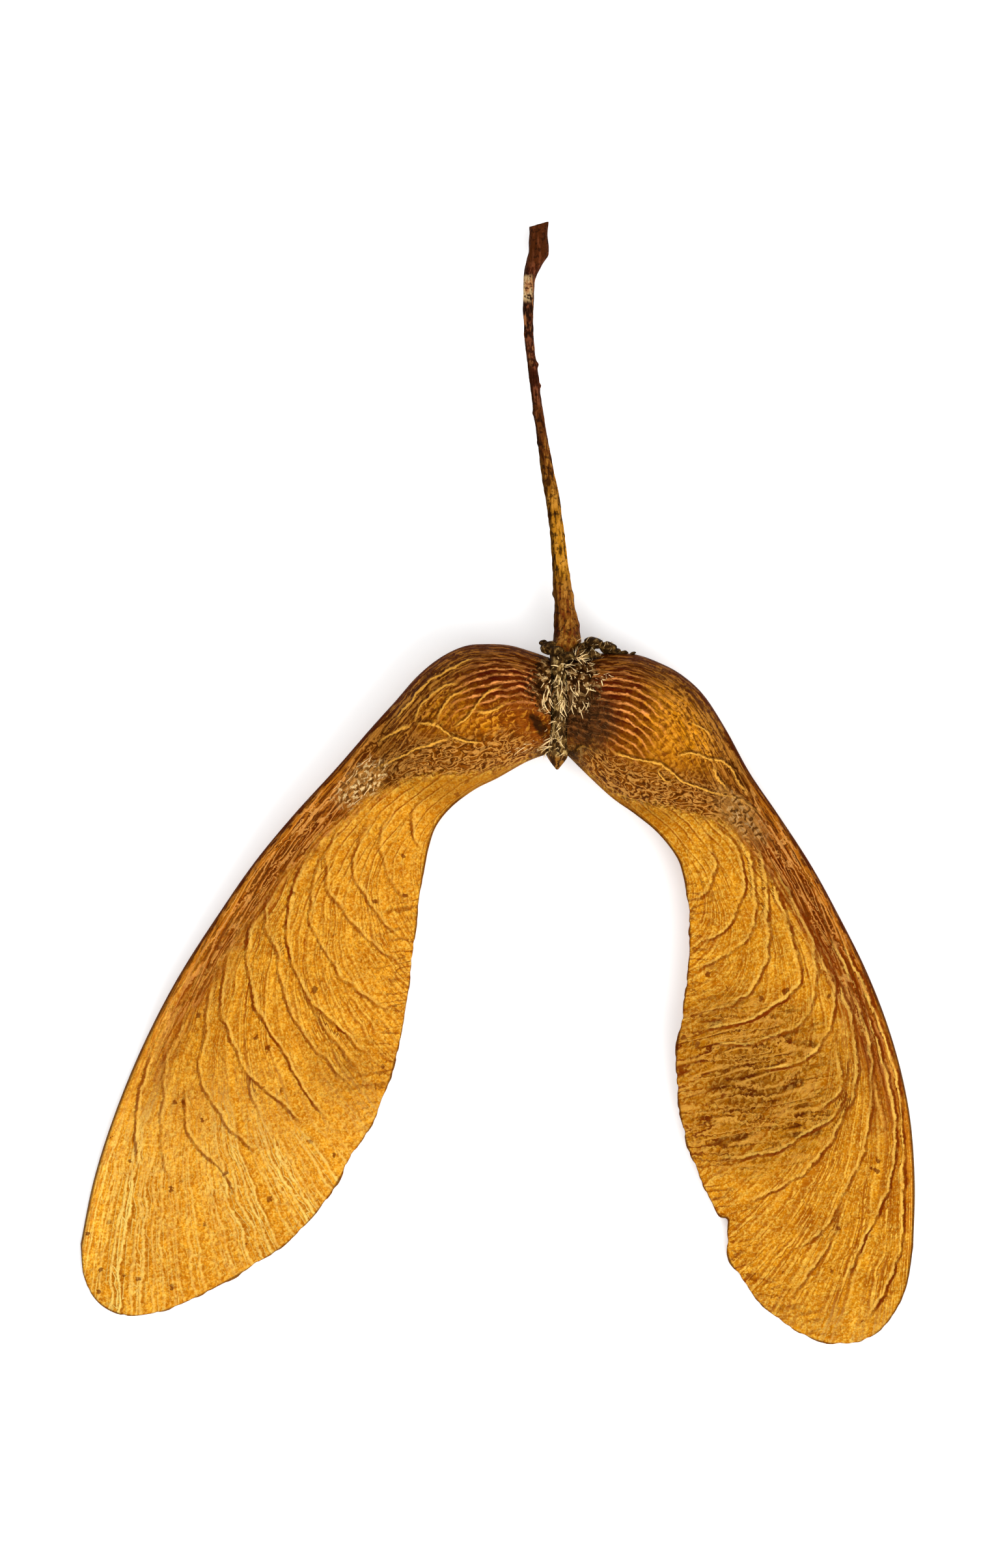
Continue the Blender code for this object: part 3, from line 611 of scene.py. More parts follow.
def new_mesh(name, points, faces, values):
    """A mesh in metres with the seam at its place in the box, and three-part values on its points."""
    mesh = bpy.data.meshes.new(name)
    moved = (np.asarray(points) + np.array([SEAM_X, SEAM_Y, 0.0])) * MM
    used, faces_flat = np.unique(np.asarray(faces), return_inverse=True)
    faces = faces_flat.reshape(np.asarray(faces).shape)
    mesh.from_pydata(moved[used].tolist(), [], faces.tolist())
    for key, value in values.items():
        layer = mesh.attributes.new(key, "FLOAT_VECTOR", "POINT")
        layer.data.foreach_set("vector", np.ascontiguousarray(value[used], np.float32).reshape(-1))
    mesh.shade_smooth()
    return mesh


def new_piece(name, mesh, material, replaced=None):
    """An object that rides with the frame and takes the given material."""
    item = bpy.data.objects.new(name, mesh)
    bpy.context.scene.collection.objects.link(item)
    mesh.materials.clear()
    mesh.materials.append(material)
    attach(item, "root")
    if replaced:
        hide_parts(replaced)


class Num:
    """A number inside a node tree, with the usual arithmetic."""

    def __init__(self, tree, out):
        self.tree = tree
        self.out = out

    def do(self, operation, *others):
        node = self.tree.nodes.new("ShaderNodeMath")
        node.operation = operation
        for place, value in zip(node.inputs, (self, *others)):
            if isinstance(value, Num):
                self.tree.links.new(value.out, place)
            else:
                place.default_value = value
        return Num(self.tree, node.outputs[0])

    def __add__(self, other):
        return self.do("ADD", other)

    def __sub__(self, other):
        return self.do("SUBTRACT", other)

    def __mul__(self, other):
        return self.do("MULTIPLY", other)

    def __truediv__(self, other):
        return self.do("DIVIDE", other)

    def __pow__(self, other):
        return self.do("POWER", other)

    __radd__ = __add__
    __rmul__ = __mul__

    def __rsub__(self, other):
        return self * -1 + other

    def abs(self):
        return self.do("ABSOLUTE")

    def part(self):
        return self.do("FRACT")

    def least(self, other):
        return self.do("MINIMUM", other)

    def most(self, other):
        return self.do("MAXIMUM", other)

    def step(self, low, high):
        """0 below low, 1 above high, and smooth between; low may be the larger."""
        node = self.tree.nodes.new("ShaderNodeMapRange")
        node.interpolation_type = "SMOOTHSTEP"
        self.tree.links.new(self.out, node.inputs["Value"])
        turned = low > high
        node.inputs["From Min"].default_value = min(low, high)
        node.inputs["From Max"].default_value = max(low, high)
        node.inputs["To Min"].default_value = 1.0 if turned else 0.0
        node.inputs["To Max"].default_value = 0.0 if turned else 1.0
        return Num(self.tree, node.outputs["Result"])


def add_node(tree, kind, settings=None, inputs=None):
    """A new node with its settings, and its sockets given values or links."""
    node = tree.nodes.new(kind)
    for key, value in (settings or {}).items():
        setattr(node, key, value)
    for key, value in (inputs or {}).items():
        if isinstance(value, Num):
            value = value.out
        if isinstance(value, bpy.types.NodeSocket):
            tree.links.new(value, node.inputs[key])
        else:
            node.inputs[key].default_value = value
    return node


def colour(red, green, blue):
    """A screen colour of 0 to 255 as the linear colour that a material takes."""
    linear = []
    for value in (red, green, blue):
        value /= 255
        linear.append(value / 12.92 if value <= 0.04045 else ((value + 0.055) / 1.055) ** 2.4)
    return (*linear, 1.0)


class Look:
    """A material being put together."""

    def __init__(self, name):
        self.material = bpy.data.materials.new(name)
        self.material.use_nodes = True
        self.tree = self.material.node_tree
        self.tree.nodes.clear()

    def node(self, kind, settings=None, inputs=None):
        return add_node(self.tree, kind, settings, inputs)

    def parts(self, socket):
        split = self.node("ShaderNodeSeparateXYZ", inputs={0: socket})
        return [Num(self.tree, out) for out in split.outputs]

    def attribute(self, name):
        return self.parts(self.node("ShaderNodeAttribute", {"attribute_name": name}).outputs["Vector"])

    def place(self):
        """Object position in millimetres from the middle of the seam, as a socket and as its parts."""
        here = self.node("ShaderNodeTexCoord").outputs["Object"]
        moved = self.node("ShaderNodeMapping", inputs={
            "Vector": here, "Location": (-SEAM_X, -SEAM_Y, 0.0), "Scale": (1 / MM, 1 / MM, 1 / MM),
        }).outputs[0]
        return moved, self.parts(moved)

    def vector(self, x, y):
        return self.node("ShaderNodeCombineXYZ", inputs={"X": x, "Y": y}).outputs[0]

    def noise(self, vector, scale, detail):
        node = self.node("ShaderNodeTexNoise", inputs={
            "Vector": vector, "Scale": scale, "Detail": detail, "Roughness": 0.55,
        })
        return Num(self.tree, node.outputs[0])

    def cells(self, vector, scale):
        """How far the nearest side of an irregular net is, in units of 1/scale."""
        feature = {"feature": "DISTANCE_TO_EDGE"}
        node = self.node("ShaderNodeTexVoronoi", feature, {"Vector": vector, "Scale": scale})
        return Num(self.tree, node.outputs["Distance"])

    def dots(self, x, y, scale):
        """How far the nearest of many scattered points is, in units of 1/scale."""
        flat = {"voronoi_dimensions": "2D"}
        node = self.node("ShaderNodeTexVoronoi", flat, {"Vector": self.vector(x, y), "Scale": scale})
        return Num(self.tree, node.outputs["Distance"])

    def mix(self, first, second, factor):
        node = self.node("ShaderNodeMix", {"data_type": "RGBA"}, {0: factor, 6: first, 7: second})
        return node.outputs[2]

    def coats(self, base, tones):
        """Screen colours laid over a base one after another, each as strong as its share says."""
        for tone, cover in tones:
            base = self.mix(base, colour(*tone), cover)
        return base

    def spot(self, place, middle, half_x, half_y):
        """1 at the middle of an oval spot and 0 outside it."""
        x, y = place[0], place[1]
        out = ((x - middle[0]) / half_x) ** 2 + ((y - middle[1]) / half_y) ** 2
        return out.step(1.0, 0.0)

    def surface(self, base, rough, height, glow=None, through=None):
        """The finished surface: height is in millimetres, and through is the share of light let through."""
        bump = self.node("ShaderNodeBump", inputs={"Strength": 1.0, "Distance": MM, "Height": height})
        shader = self.node("ShaderNodeBsdfPrincipled", inputs={
            "Base Color": base, "Roughness": rough, "Specular IOR Level": 0.015, "Normal": bump.outputs[0],
        })
        last = shader.outputs[0]
        if through is not None:
            thin = self.node("ShaderNodeBsdfTranslucent", inputs={"Color": glow, "Normal": bump.outputs[0]})
            both = self.node("ShaderNodeMixShader", inputs={0: through, 1: last, 2: thin.outputs[0]})
            last = both.outputs[0]
        self.node("ShaderNodeOutputMaterial", inputs={"Surface": last})
        return self.material


def samara_look(samara):
    """Golden wing with brown forked veins and a fine net, and a ribbed brown nutlet, with painted shade and
    painted highlight on its relief.
    """
    look = Look(samara["name"])
    progress, v, spread = look.attribute("vein_place")
    lead, edge, full = look.attribute("zones")
    run, border, reach = look.attribute("paths")
    position, place = look.place()
    x, y = place[0], place[1]
    fine = look.noise(position, 5.0, 3.0)
    middle = look.noise(position, 1.4, 3.0)
    broad = look.noise(position, 0.4, 2.0)
    loose = look.noise(position, 1.1, 2.0).step(0.36, 0.56)
    crooked = fine * 0.2 - 0.1

    def line(name, width, clear, side):
        """A line's dark core, a flank on one side of it for painted highlight beside brown lines and painted
        shade beside pale ones, and its strength.
        """
        signed, plain, strength = look.attribute(name)
        off = signed + crooked
        near = strength * plain.step(clear, 0.7 * clear)
        core = (off.abs() / width).step(1.5, 0.4) * near
        flank = ((off * side - 2.2 * width).abs() / width).step(1.4, 0.3) * near
        return core, flank, strength

    tree, tree_highlight_and_shade, tree_strength = line("tree", width=0.066, clear=0.26, side=samara["lit_side"])
    traced, traced_highlight, _ = line("traced", width=0.066, clear=0.34, side=samara["lit_side"])
    pale, pale_line_shade, _ = line("pale", width=0.05, clear=0.25, side=1.0)

    def ridges(scale, width):
        """A net of fine ridges: masks for painted highlight on the side towards the light and painted shade
        on the side away from it, and their tops.
        """
        sides = []
        for shift in (-0.04, 0.04):
            moved = look.vector(x + middle * 0.9 + shift, y + fine * 0.5 - shift)
            sides.append(look.cells(moved, scale).step(width, 0.0))
        lit = sides[0] - sides[1]
        return lit.step(0.05, 0.55), lit.step(-0.05, -0.55), (sides[0] * sides[1]).step(0.1, 0.6)

    def folds(along, across, levels, width=0.22):
        """Thin winding folds that mostly run one way: masks for painted shade in their bottoms and painted
        highlight on their tops.
        """
        field = look.noise(look.vector(along + fine * 0.35, across + fine * 0.35), 1.0, 1.0)
        turn = (field * levels).part()
        dark = (turn - 0.25).abs().step(width, 0.25 * width)
        return dark, (turn - 0.3 - 1.4 * width).abs().step(width, 0.2 * width)

    lit, shade, top = ridges(scale=3.0, width=0.36)
    grit = look.noise(position, 11.0, 1.0)
    grain = look.noise(look.vector(v * 32.0 + middle * 1.2, run * 1.5 + fine * 0.5), 1.0, 3.0)

    # The wing's ground colour, with its grain, and its net with painted shade and painted highlight on the
    # sides of its ridges.
    turned_pale = y.step(*samara["pale_below"])
    dark_tone, light_tone = samara["tones"]
    patchy = (broad * 0.4 + middle * 0.7 - 0.1).step(0.2, 0.65)
    wing = look.mix(colour(*dark_tone), colour(*light_tone), patchy)
    wing = look.coats(wing, [
        ((178, 104, 8), fine.step(0.52, 0.66) * 0.55),
        ((255, 206, 78), fine.step(0.47, 0.34) * 0.4),
        ((176, 92, 0), grain.step(0.54, 0.62) * 0.3),
        # painted shade and painted highlight on the two sides of the net's ridges
        ((156, 78, 0), shade * (0.3 + 0.05 * turned_pale)),
        ((255, 214, 96), lit * (0.25 + 0.1 * turned_pale)),
        ((180, 100, 2), grit.step(0.54, 0.64) * 0.5),
        ((255, 212, 100), grit.step(0.44, 0.36) * 0.35),
    ])

    # The finest veins, brown above and pale towards the tip, with painted highlight beside the brown ones and
    # painted shade beside the pale ones.
    strong = tree_strength.step(0.45, 0.9)
    branch = tree * (0.4 + 0.6 * strong) * (0.5 + 0.5 * loose) * turned_pale
    browned = (0.45 + 0.55 * strong) * (0.4 + 0.6 * loose) * (1.0 - turned_pale)
    wing = look.coats(wing, [
        ((140, 60, 0), tree * browned * 0.9),
        # painted highlight beside the brown veins
        ((255, 208, 92), tree_highlight_and_shade * browned * 0.5),
        ((255, 220, 116), branch),
        # painted shade beside the pale veins
        ((150, 76, 0), tree_highlight_and_shade * (0.4 + 0.6 * strong) * (0.4 + 0.6 * loose) * turned_pale * 0.8),
    ])

    # The brown patch with its wrinkles and the folds along the inner margin, with painted shade in their
    # bottoms and painted highlight on the wrinkles' tops.
    stain = samara["stain"]
    blot = look.spot(place, stain["middle"], stain["half_x"] * 1.5, stain["half_y"] * 1.5)
    stain_core = look.spot(place, stain["middle"], 0.5 * stain["half_x"], 0.5 * stain["half_y"])
    stain_core = stain_core * stain["strength"]
    blot = (blot + broad + middle - 1.0).step(0.0, 1.1) * blot.step(0.0, 0.7) * stain["strength"]
    wrinkle, wrinkle_highlight = folds(x * 0.2, y * 1.1 - x * 0.12, levels=7.0, width=0.17)
    frill = edge.step(2.4, 0.4) * lead.step(3.0, 5.0) * y.step(-7.0, -9.0) * middle.step(0.4, 0.5)
    frill = frill * (1.0 - turned_pale)
    wing = look.coats(wing, [
        ((128, 70, 0), blot * 0.6),
        ((88, 44, 0), stain_core * (fine * 1.6 - 0.2) * 0.75),
        # painted shade in the wrinkles and on the net's far sides, and painted highlight on their tops and
        # lit sides
        ((70, 20, 0), blot * wrinkle.most(shade * 0.5) * (0.45 + 0.5 * loose)),
        ((226, 166, 70), blot * wrinkle_highlight.most(lit * 0.6) * 0.6),
        # painted shade in the folds along the inner margin
        ((112, 40, 0), frill * wrinkle * 0.7),
    ])

    # The thick bundle of fibres along the leading edge, with painted shade in its folds and painted highlight
    # on their tops, and the traced veins with painted highlight beside them.
    streak = look.noise(look.vector(lead * 12.0 + fine * 0.8, run * 1.2 + middle), 1.0, 2.0)
    bundle = (lead / (3.0 - 2.2 * progress) + middle * 0.8 - 0.4).step(1.0, 0.5) * progress.step(0.85, 0.2)
    striped = lead.step(0.15, 0.3) * lead.step(2.8, 1.2) * progress.step(0.0, 0.2) * progress.step(0.78, 0.54)
    striped = striped * samara["stripes"]
    groove, groove_highlight = folds(run * 0.12, lead * 1.5, levels=6.0)
    cord, cord_highlight = folds(run * 0.25, lead * 2.2, levels=7.0)
    wing = look.coats(wing, [
        ((150, 72, 8), striped * lead.step(0.3, 0.7) * lead.step(2.2, 1.6) * 0.85),
        # painted shade in the groove bottoms and painted highlight on their tops
        ((112, 36, 0), striped * groove * 0.95),
        ((255, 200, 96), striped * groove_highlight * 0.5),
        ((150, 74, 8), bundle * 0.75),
        # dark streaks of the fibres together with painted shade in the cords, and painted highlight on the
        # cords' tops
        ((70, 18, 0), bundle * cord.most(streak.step(0.54, 0.6)) * 0.85),
        ((240, 168, 84), bundle * cord_highlight * 0.65),
    ])
    rim = lead.step(0.5, 0.3) * lead.step(0.05, 0.14)
    wing = look.coats(wing, [
        ((196, 116, 24), rim * streak.step(0.58, 0.45) * 0.6),
        ((112, 42, 0), traced * (0.6 + 0.4 * loose)),
        # painted highlight beside the traced veins
        ((255, 204, 92), traced_highlight * (0.2 + 0.4 * loose)),
    ])
    speck = (look.dots(x + fine * 0.5, y + middle * 0.7, 0.8) - 0.07 * loose).step(0.05, 0.02)
    wing = look.mix(wing, colour(96, 32, 0), speck * look.noise(position, 0.5, 1.0).step(0.52, 0.6) * 0.8)

    # The nutlet: its ground colour, its ribs with painted highlight on their crests, the net's painted shade
    # and highlight, and its mottled lower side.
    glow = samara["glow"]
    centre = look.spot(place, glow["middle"], glow["half_x"] * 1.5, glow["half_y"] * 1.5)
    husk = look.mix(colour(98, 48, 0), colour(*glow["colour"]), centre * (middle * 0.5 + 0.75).least(1.0))
    husk = look.coats(husk, [
        ((232, 152, 20), fine.step(0.47, 0.36) * (0.15 + 0.45 * centre)),
        ((102, 38, 0), fine.step(0.52, 0.62) * 0.6),
        ((124, 56, 4), reach.step(4.4, 2.0) * 0.8),
    ])
    wavy_v = v + crooked * 0.1 + middle * 0.05
    gap = ((wavy_v * float(RIBS)).part() - 0.5).abs() / float(RIBS) * spread
    rib = (gap / RIB_WIDTH).step(1.1, 0.2)
    ribs_end = samara["ribs_end"]
    ribbed = reach.step(6.0, 3.6) * v.step(ribs_end + 0.14, ribs_end - 0.12)
    husk = look.mix(husk, colour(72, 12, 0), (1.0 - rib) * ribbed * (0.7 + 0.25 * middle.step(0.4, 0.55)))
    # painted highlight on the rib crests
    crest_highlight = (0.6 + 0.5 * fine.step(0.4, 0.54)) * (1.15 - 0.35 * samara["stripes"])
    husk = look.mix(husk, colour(246, 158, 82), rib * ribbed * (0.35 + 0.65 * grain.step(0.44, 0.54)) * crest_highlight)
    free = 1.0 - ribbed
    # painted shade and painted highlight on the two sides of the net's ridges, away from the ribs
    husk = look.coats(husk, [
        ((84, 28, 0), grain.step(0.53, 0.59) * free * 0.6),
        ((92, 38, 0), shade * free * 0.6),
        ((236, 160, 44), lit * free * (0.35 + 0.3 * centre)),
    ])
    mottled = border.step(2.3, 1.2) * reach.step(1.4, 3.0)
    crease, crease_highlight = folds(x * 0.8, border * 2.1, levels=9.0, width=0.2)
    husk = look.coats(husk, [
        ((116, 60, 4), border.step(4.0, 1.8) * reach.step(3.0, 5.0) * 0.5),
        ((120, 62, 4), mottled * 0.65),
        # painted shade in the creases and on the net's far sides, and painted highlight on their tops
        ((58, 22, 0), mottled * crease.most(shade * 0.5) * 0.85),
        ((222, 160, 76), mottled * (lit * 0.5).most(crease_highlight * 0.8) * 0.7),
        # painted shade along the nutlet's upper, leading side
        ((70, 30, 0), lead.step(1.35, 0.35) * 0.75),
        ((174, 108, 36), lead.step(1.8, 0.6) * streak.step(0.47, 0.4) * 0.6),
        # painted shade in the cords and painted highlight on their tops
        ((60, 18, 0), lead.step(3.0, 1.2) * cord * (0.2 + 0.5 * free)),
        ((222, 150, 60), lead.step(3.0, 1.2) * cord_highlight * free * 0.4),
        ((240, 172, 66), pale * 0.8),
        # painted shade beside the pale raised lines
        ((60, 26, 0), pale_line_shade * 0.6),
    ])

    # The woolly neck between the nutlet and the wing, with painted shade and painted highlight on its patch,
    # and where the one colour gives way to the other.
    neck = samara["neck"]
    (mx, my), (wx, wy) = neck["middle"], neck["way"]
    down_neck = ((x - mx) * wx + (y - my) * wy) / neck["long"]
    over_neck = ((x - mx) * wy - (y - my) * wx) / neck["wide"]
    patch_shape = (down_neck * down_neck + over_neck * over_neck + fine * 1.4 - 0.7).step(1.3, 0.2)
    on_nutlet = (border + fine * 0.8 - 0.4).step(-0.3, 0.3) * reach.step(11.5, 8.5)
    base = look.mix(wing, husk, on_nutlet)
    membrane = border.step(0.1, -0.2) * reach.step(9.0, 6.0)
    base = look.coats(base, [
        ((148, 82, 4), membrane * 0.6),
        ((172, 118, 52), patch_shape * 0.6),
        # painted shade and painted highlight on the neck's patch
        ((74, 40, 8), patch_shape * shade * 0.9),
        ((240, 204, 140), patch_shape * lit * neck["strength"]),
    ])

    # Dark edges, partly the rim's own colour and partly painted shade, and the matted hairs under the tuft,
    # beside the column and at its foot.
    # dark outline along the edges: a darker rim together with painted shade at the edges
    base = look.mix(base, colour(60, 26, 4), edge.step(0.15, 0.05) * (0.85 - 0.5 * full.step(0.0, 0.2)))
    dark_edge = lead.step(0.26, 0.12) * reach.step(3.0, 6.0) * progress.step(0.8, 0.4)
    base = look.mix(base, colour(72, 24, 0), dark_edge * (0.35 + 0.6 * streak.step(0.42, 0.54)))
    mat = (((x - 0.25) / 1.75) ** 2 + ((y - 1.0) / 1.75) ** 2 + fine * 2.0 - 1.0).step(1.0, 0.55)
    squiggle = look.noise(look.vector(x * 3.2 + middle * 2.5, y * 3.2 + fine * 1.2), 1.0, 2.0)
    base = look.coats(base, [
        ((74, 44, 14), mat * 0.9),
        ((34, 12, 0), mat * squiggle.step(0.5, 0.56) * 0.9),
        ((206, 162, 100), mat * squiggle.step(0.45, 0.4) * 0.7),
    ])
    fuzz = look.spot(place, (1.15, -0.75), 2.0, 2.0) * (fine * 1.2 + 0.3).least(1.0)
    base = look.coats(base, [
        ((72, 44, 18), fuzz * 0.85),
        ((44, 24, 8), fuzz * squiggle.step(0.48, 0.56) * 0.9),
    ])
    # painted shade in the dark gap left of the column
    down_gap = (x * 0.607 - y * 0.795 - 0.175) / 0.62
    over_gap = (x * 0.795 + y * 0.607 + 1.304) / 0.24
    gap_shade = (down_gap * down_gap + over_gap * over_gap + fine * 2.0 + squiggle * 3.0 - 2.5).step(2.2, 0.1)
    base = look.mix(base, colour(24, 12, 2), gap_shade * 0.9)
    foot = x.abs().step(1.5, 0.5) * y.step(-1.7, -2.1)
    base = look.coats(base, [
        ((92, 58, 18), foot * 0.8),
        ((44, 24, 6), foot * squiggle.step(0.49, 0.56) * 0.85),
        ((198, 156, 84), foot * squiggle.step(0.45, 0.4) * 0.6),
    ])

    # The relief of all of it in millimetres.
    height = branch * 0.045 - tree * (1.0 - turned_pale) * 0.02 + traced * 0.03 + pale * 0.05 + fine * 0.12
    height = height + top * 0.014 + grain * 0.1 + streak * bundle * 0.16
    height = height + rib * ribbed * on_nutlet * 0.06
    height = height + squiggle * mat * 0.25 + grain * (mottled * on_nutlet + blot) * 0.1
    rough = 0.55 + 0.12 * fine - 0.1 * on_nutlet
    through = (1.0 - on_nutlet) * lead.step(0.1, 1.6) * 0.22
    return look.surface(base, rough, height, glow=colour(*samara["shine"]), through=through)


def stalk_look():
    """Golden brown at the foot, reddish above and dark towards the cut end, with a pale scrap below it and
    painted shade down its left side.
    """
    look = Look("stalk")
    crumb, y, turn = look.attribute("kind")
    position, place = look.place()
    stretched = look.node("ShaderNodeMapping", inputs={"Vector": position, "Scale": (6.0, 1.1, 6.0)})
    streak = look.noise(stretched.outputs[0], 1.0, 4.0)
    fine = look.noise(position, 5.0, 3.0)
    base = look.mix(colour(182, 120, 24), colour(98, 50, 12), y.step(7.0, 12.0))
    base = look.coats(base, [
        ((58, 22, 8), y.step(12.0, 15.5)),
        ((206, 142, 52), streak.step(0.51, 0.6) * y.step(15.0, 9.0) * 0.65),
        ((136, 76, 46), streak.step(0.52, 0.62) * y.step(11.0, 15.0) * 0.7),
    ])
    foot = y.step(6.6, 5.0)
    base = look.coats(base, [
        ((106, 56, 18), foot * 0.8),
        ((196, 134, 52), streak.step(0.53, 0.6) * foot * 0.5),
        ((96, 34, 8), streak.step(0.48, 0.42) * foot * 0.8),
        ((40, 14, 2), streak.step(0.47, 0.4) * (1.0 - foot) * 0.85),
        ((28, 12, 4), y.step(16.4, 17.6) * y.step(19.2, 18.9) * fine.step(0.42, 0.52) * 0.85),
        # painted shade down the stalk's left side
        ((36, 12, 0), (turn + fine * 0.1).step(0.37, 0.45) * turn.step(0.64, 0.54) * 0.8),
    ])
    pale = y.step(18.7, 19.0) * y.step(20.15, 19.9) * fine.step(0.62, 0.45) * place[0].step(-1.15, -1.35)
    base = look.coats(base, [
        ((206, 172, 120), pale * 0.9),
        ((84, 40, 12), y.step(20.1, 20.8) * 0.6),
        ((170, 108, 62), streak.step(0.48, 0.42) * y.step(15.5, 16.5) * y.step(20.4, 19.6) * 0.75),
        ((30, 12, 4), fine.step(0.54, 0.62) * 0.7),
    ])
    strands = look.noise(look.vector(place[0] * 5.0 + fine * 1.6, place[1] * 2.4 + fine * 1.2), 1.0, 2.0)
    mat = look.mix(colour(104, 74, 34), colour(40, 24, 8), strands.step(0.49, 0.55) * 0.9)
    mat = look.mix(mat, colour(206, 172, 106), strands.step(0.46, 0.4) * 0.75)
    base = look.mix(base, mat, y.step(2.5, 2.1))
    style = look.mix(colour(136, 88, 30), colour(60, 34, 10), strands.step(0.46, 0.54))
    base = look.mix(base, style, y.step(-2.2, -2.5))
    crust = look.mix(colour(80, 54, 22), colour(34, 20, 6), fine.step(0.44, 0.54) * 0.9)
    crust = look.mix(crust, colour(150, 120, 66), fine.step(0.42, 0.36) * 0.7)
    base = look.mix(base, crust, crumb)
    height = streak * 0.2 + fine * 0.14 + strands * y.step(2.5, 2.1) * 0.2
    return look.surface(base, 0.55, height)


def hair_look(name, light, dark):
    """A hair's finish, light or dark by the tint that each hair has."""
    look = Look(name)
    tint = Num(look.tree, look.node("ShaderNodeAttribute", {"attribute_name": "tint"}).outputs["Fac"])
    base = look.mix(light, dark, tint.step(0.4, 1.0))
    shader = look.node("ShaderNodeBsdfPrincipled", inputs={
        "Base Color": base, "Roughness": 0.6, "Specular IOR Level": 0.05,
    })
    look.node("ShaderNodeOutputMaterial", inputs={"Surface": shader.outputs[0]})
    return look.material


def strand(name, bend, width, rings=6, sides=5):
    """A tapered, bent hair one unit long, standing on the origin along Z."""
    points, faces = [], []
    for n in range(rings):
        t = n / (rings - 1)
        radius = width * (1 - 0.75 * t**1.5)
        for k in range(sides):
            angle = 2 * math.pi * k / sides
            points.append((bend * t * t + radius * math.cos(angle), radius * math.sin(angle), t))
    for n in range(rings - 1):
        for k in range(sides):
            after = (k + 1) % sides
            faces.append((n * sides + k, n * sides + after, (n + 1) * sides + after, (n + 1) * sides + k))
    faces.append(tuple(range(sides))[::-1])
    faces.append(tuple(range(len(points) - sides, len(points))))
    mesh = bpy.data.meshes.new(name)
    mesh.from_pydata(points, [], faces)
    mesh.shade_smooth()
    item = bpy.data.objects.new(name, mesh)
    bpy.context.scene.collection.objects.link(item)
    return item


def hair_nodes(hair, material):
    """Nodes that grow hairs on a surface along its way attribute, with a random tint each."""
    tree = bpy.data.node_groups.new("grow_hairs", "GeometryNodeTree")
    for name, kind in (("Geometry", "NodeSocketGeometry"), ("Density", "NodeSocketFloat"),
                       ("Seed", "NodeSocketInt"), ("Length", "NodeSocketFloat"),
                       ("Disorder", "NodeSocketFloat")):
        tree.interface.new_socket(name, in_out="INPUT", socket_type=kind)
    tree.interface.new_socket("Geometry", in_out="OUTPUT", socket_type="NodeSocketGeometry")

    def node(kind, settings=None, inputs=None):
        return add_node(tree, kind, settings, inputs)

    def chance(low, high, seed):
        made = node("FunctionNodeRandomValue", {"data_type": "FLOAT"}, {2: low, 3: high, "Seed": seed})
        return made.outputs[1]

    given = node("NodeGroupInput").outputs
    spots = node("GeometryNodeDistributePointsOnFaces", {"distribute_method": "RANDOM"},
                 {"Mesh": given["Geometry"], "Density": given["Density"], "Seed": given["Seed"]})
    way = node("GeometryNodeInputNamedAttribute", {"data_type": "FLOAT_VECTOR"}, {"Name": "way"})
    stray = node("FunctionNodeRandomValue", {"data_type": "FLOAT_VECTOR"},
                 {0: (-1.0, -1.0, -0.4), 1: (1.0, 1.0, 1.0), "Seed": given["Seed"]})
    loose = node("ShaderNodeVectorMath", {"operation": "SCALE"},
                 {0: stray.outputs[0], "Scale": given["Disorder"]})
    lean = node("ShaderNodeVectorMath", {"operation": "ADD"}, {0: way.outputs[0], 1: loose.outputs[0]})
    turned = node("FunctionNodeAlignRotationToVector", {"axis": "Z"}, {"Vector": lean.outputs[0]})
    size = chance(0.5, 1.15, given["Seed"])
    length = node("ShaderNodeMath", {"operation": "MULTIPLY"}, {0: size, 1: given["Length"]})
    shape = node("GeometryNodeObjectInfo", inputs={"Object": hair})
    grown = node("GeometryNodeInstanceOnPoints", inputs={
        "Points": spots.outputs["Points"], "Instance": shape.outputs["Geometry"],
        "Rotation": turned.outputs[0], "Scale": length.outputs[0],
    })
    about = node("ShaderNodeCombineXYZ", inputs={"Z": chance(0.0, 2 * math.pi, given["Seed"])})
    spun = node("GeometryNodeRotateInstances", inputs={
        "Instances": grown.outputs[0], "Rotation": about.outputs[0],
    })
    tinted = node("GeometryNodeStoreNamedAttribute", {"data_type": "FLOAT", "domain": "INSTANCE"},
                  {"Geometry": spun.outputs[0], "Name": "tint", "Value": chance(0.0, 1.0, 7)})
    real = node("GeometryNodeRealizeInstances", inputs={"Geometry": tinted.outputs[0]})
    done = node("GeometryNodeSetMaterial", inputs={"Geometry": real.outputs[0], "Material": material})
    node("NodeGroupOutput", inputs={"Geometry": done.outputs[0]})
    return tree


def grow(name, bed_points, bed_faces, ways, hair, material, slot, per_mm2, length, disorder, seed):
    """Hairs on part of a skin, as one mesh."""
    bed = new_mesh(name + "_bed", bed_points, bed_faces, {"way": ways})
    holder = bpy.data.objects.new(name + "_bed", bed)
    bpy.context.scene.collection.objects.link(holder)
    tree = hair_nodes(hair, material)
    modifier = holder.modifiers.new("hairs", "NODES")
    modifier.node_group = tree
    values = {"Density": per_mm2 / MM**2, "Seed": seed, "Length": length * MM, "Disorder": disorder}
    for item in tree.interface.items_tree:
        if item.name in values and item.in_out == "INPUT":
            modifier[item.identifier] = values[item.name]
    graph = bpy.context.evaluated_depsgraph_get()
    mesh = bpy.data.meshes.new_from_object(holder.evaluated_get(graph))
    mesh.name = name
    bpy.data.objects.remove(holder)
    new_piece(name, mesh, material)


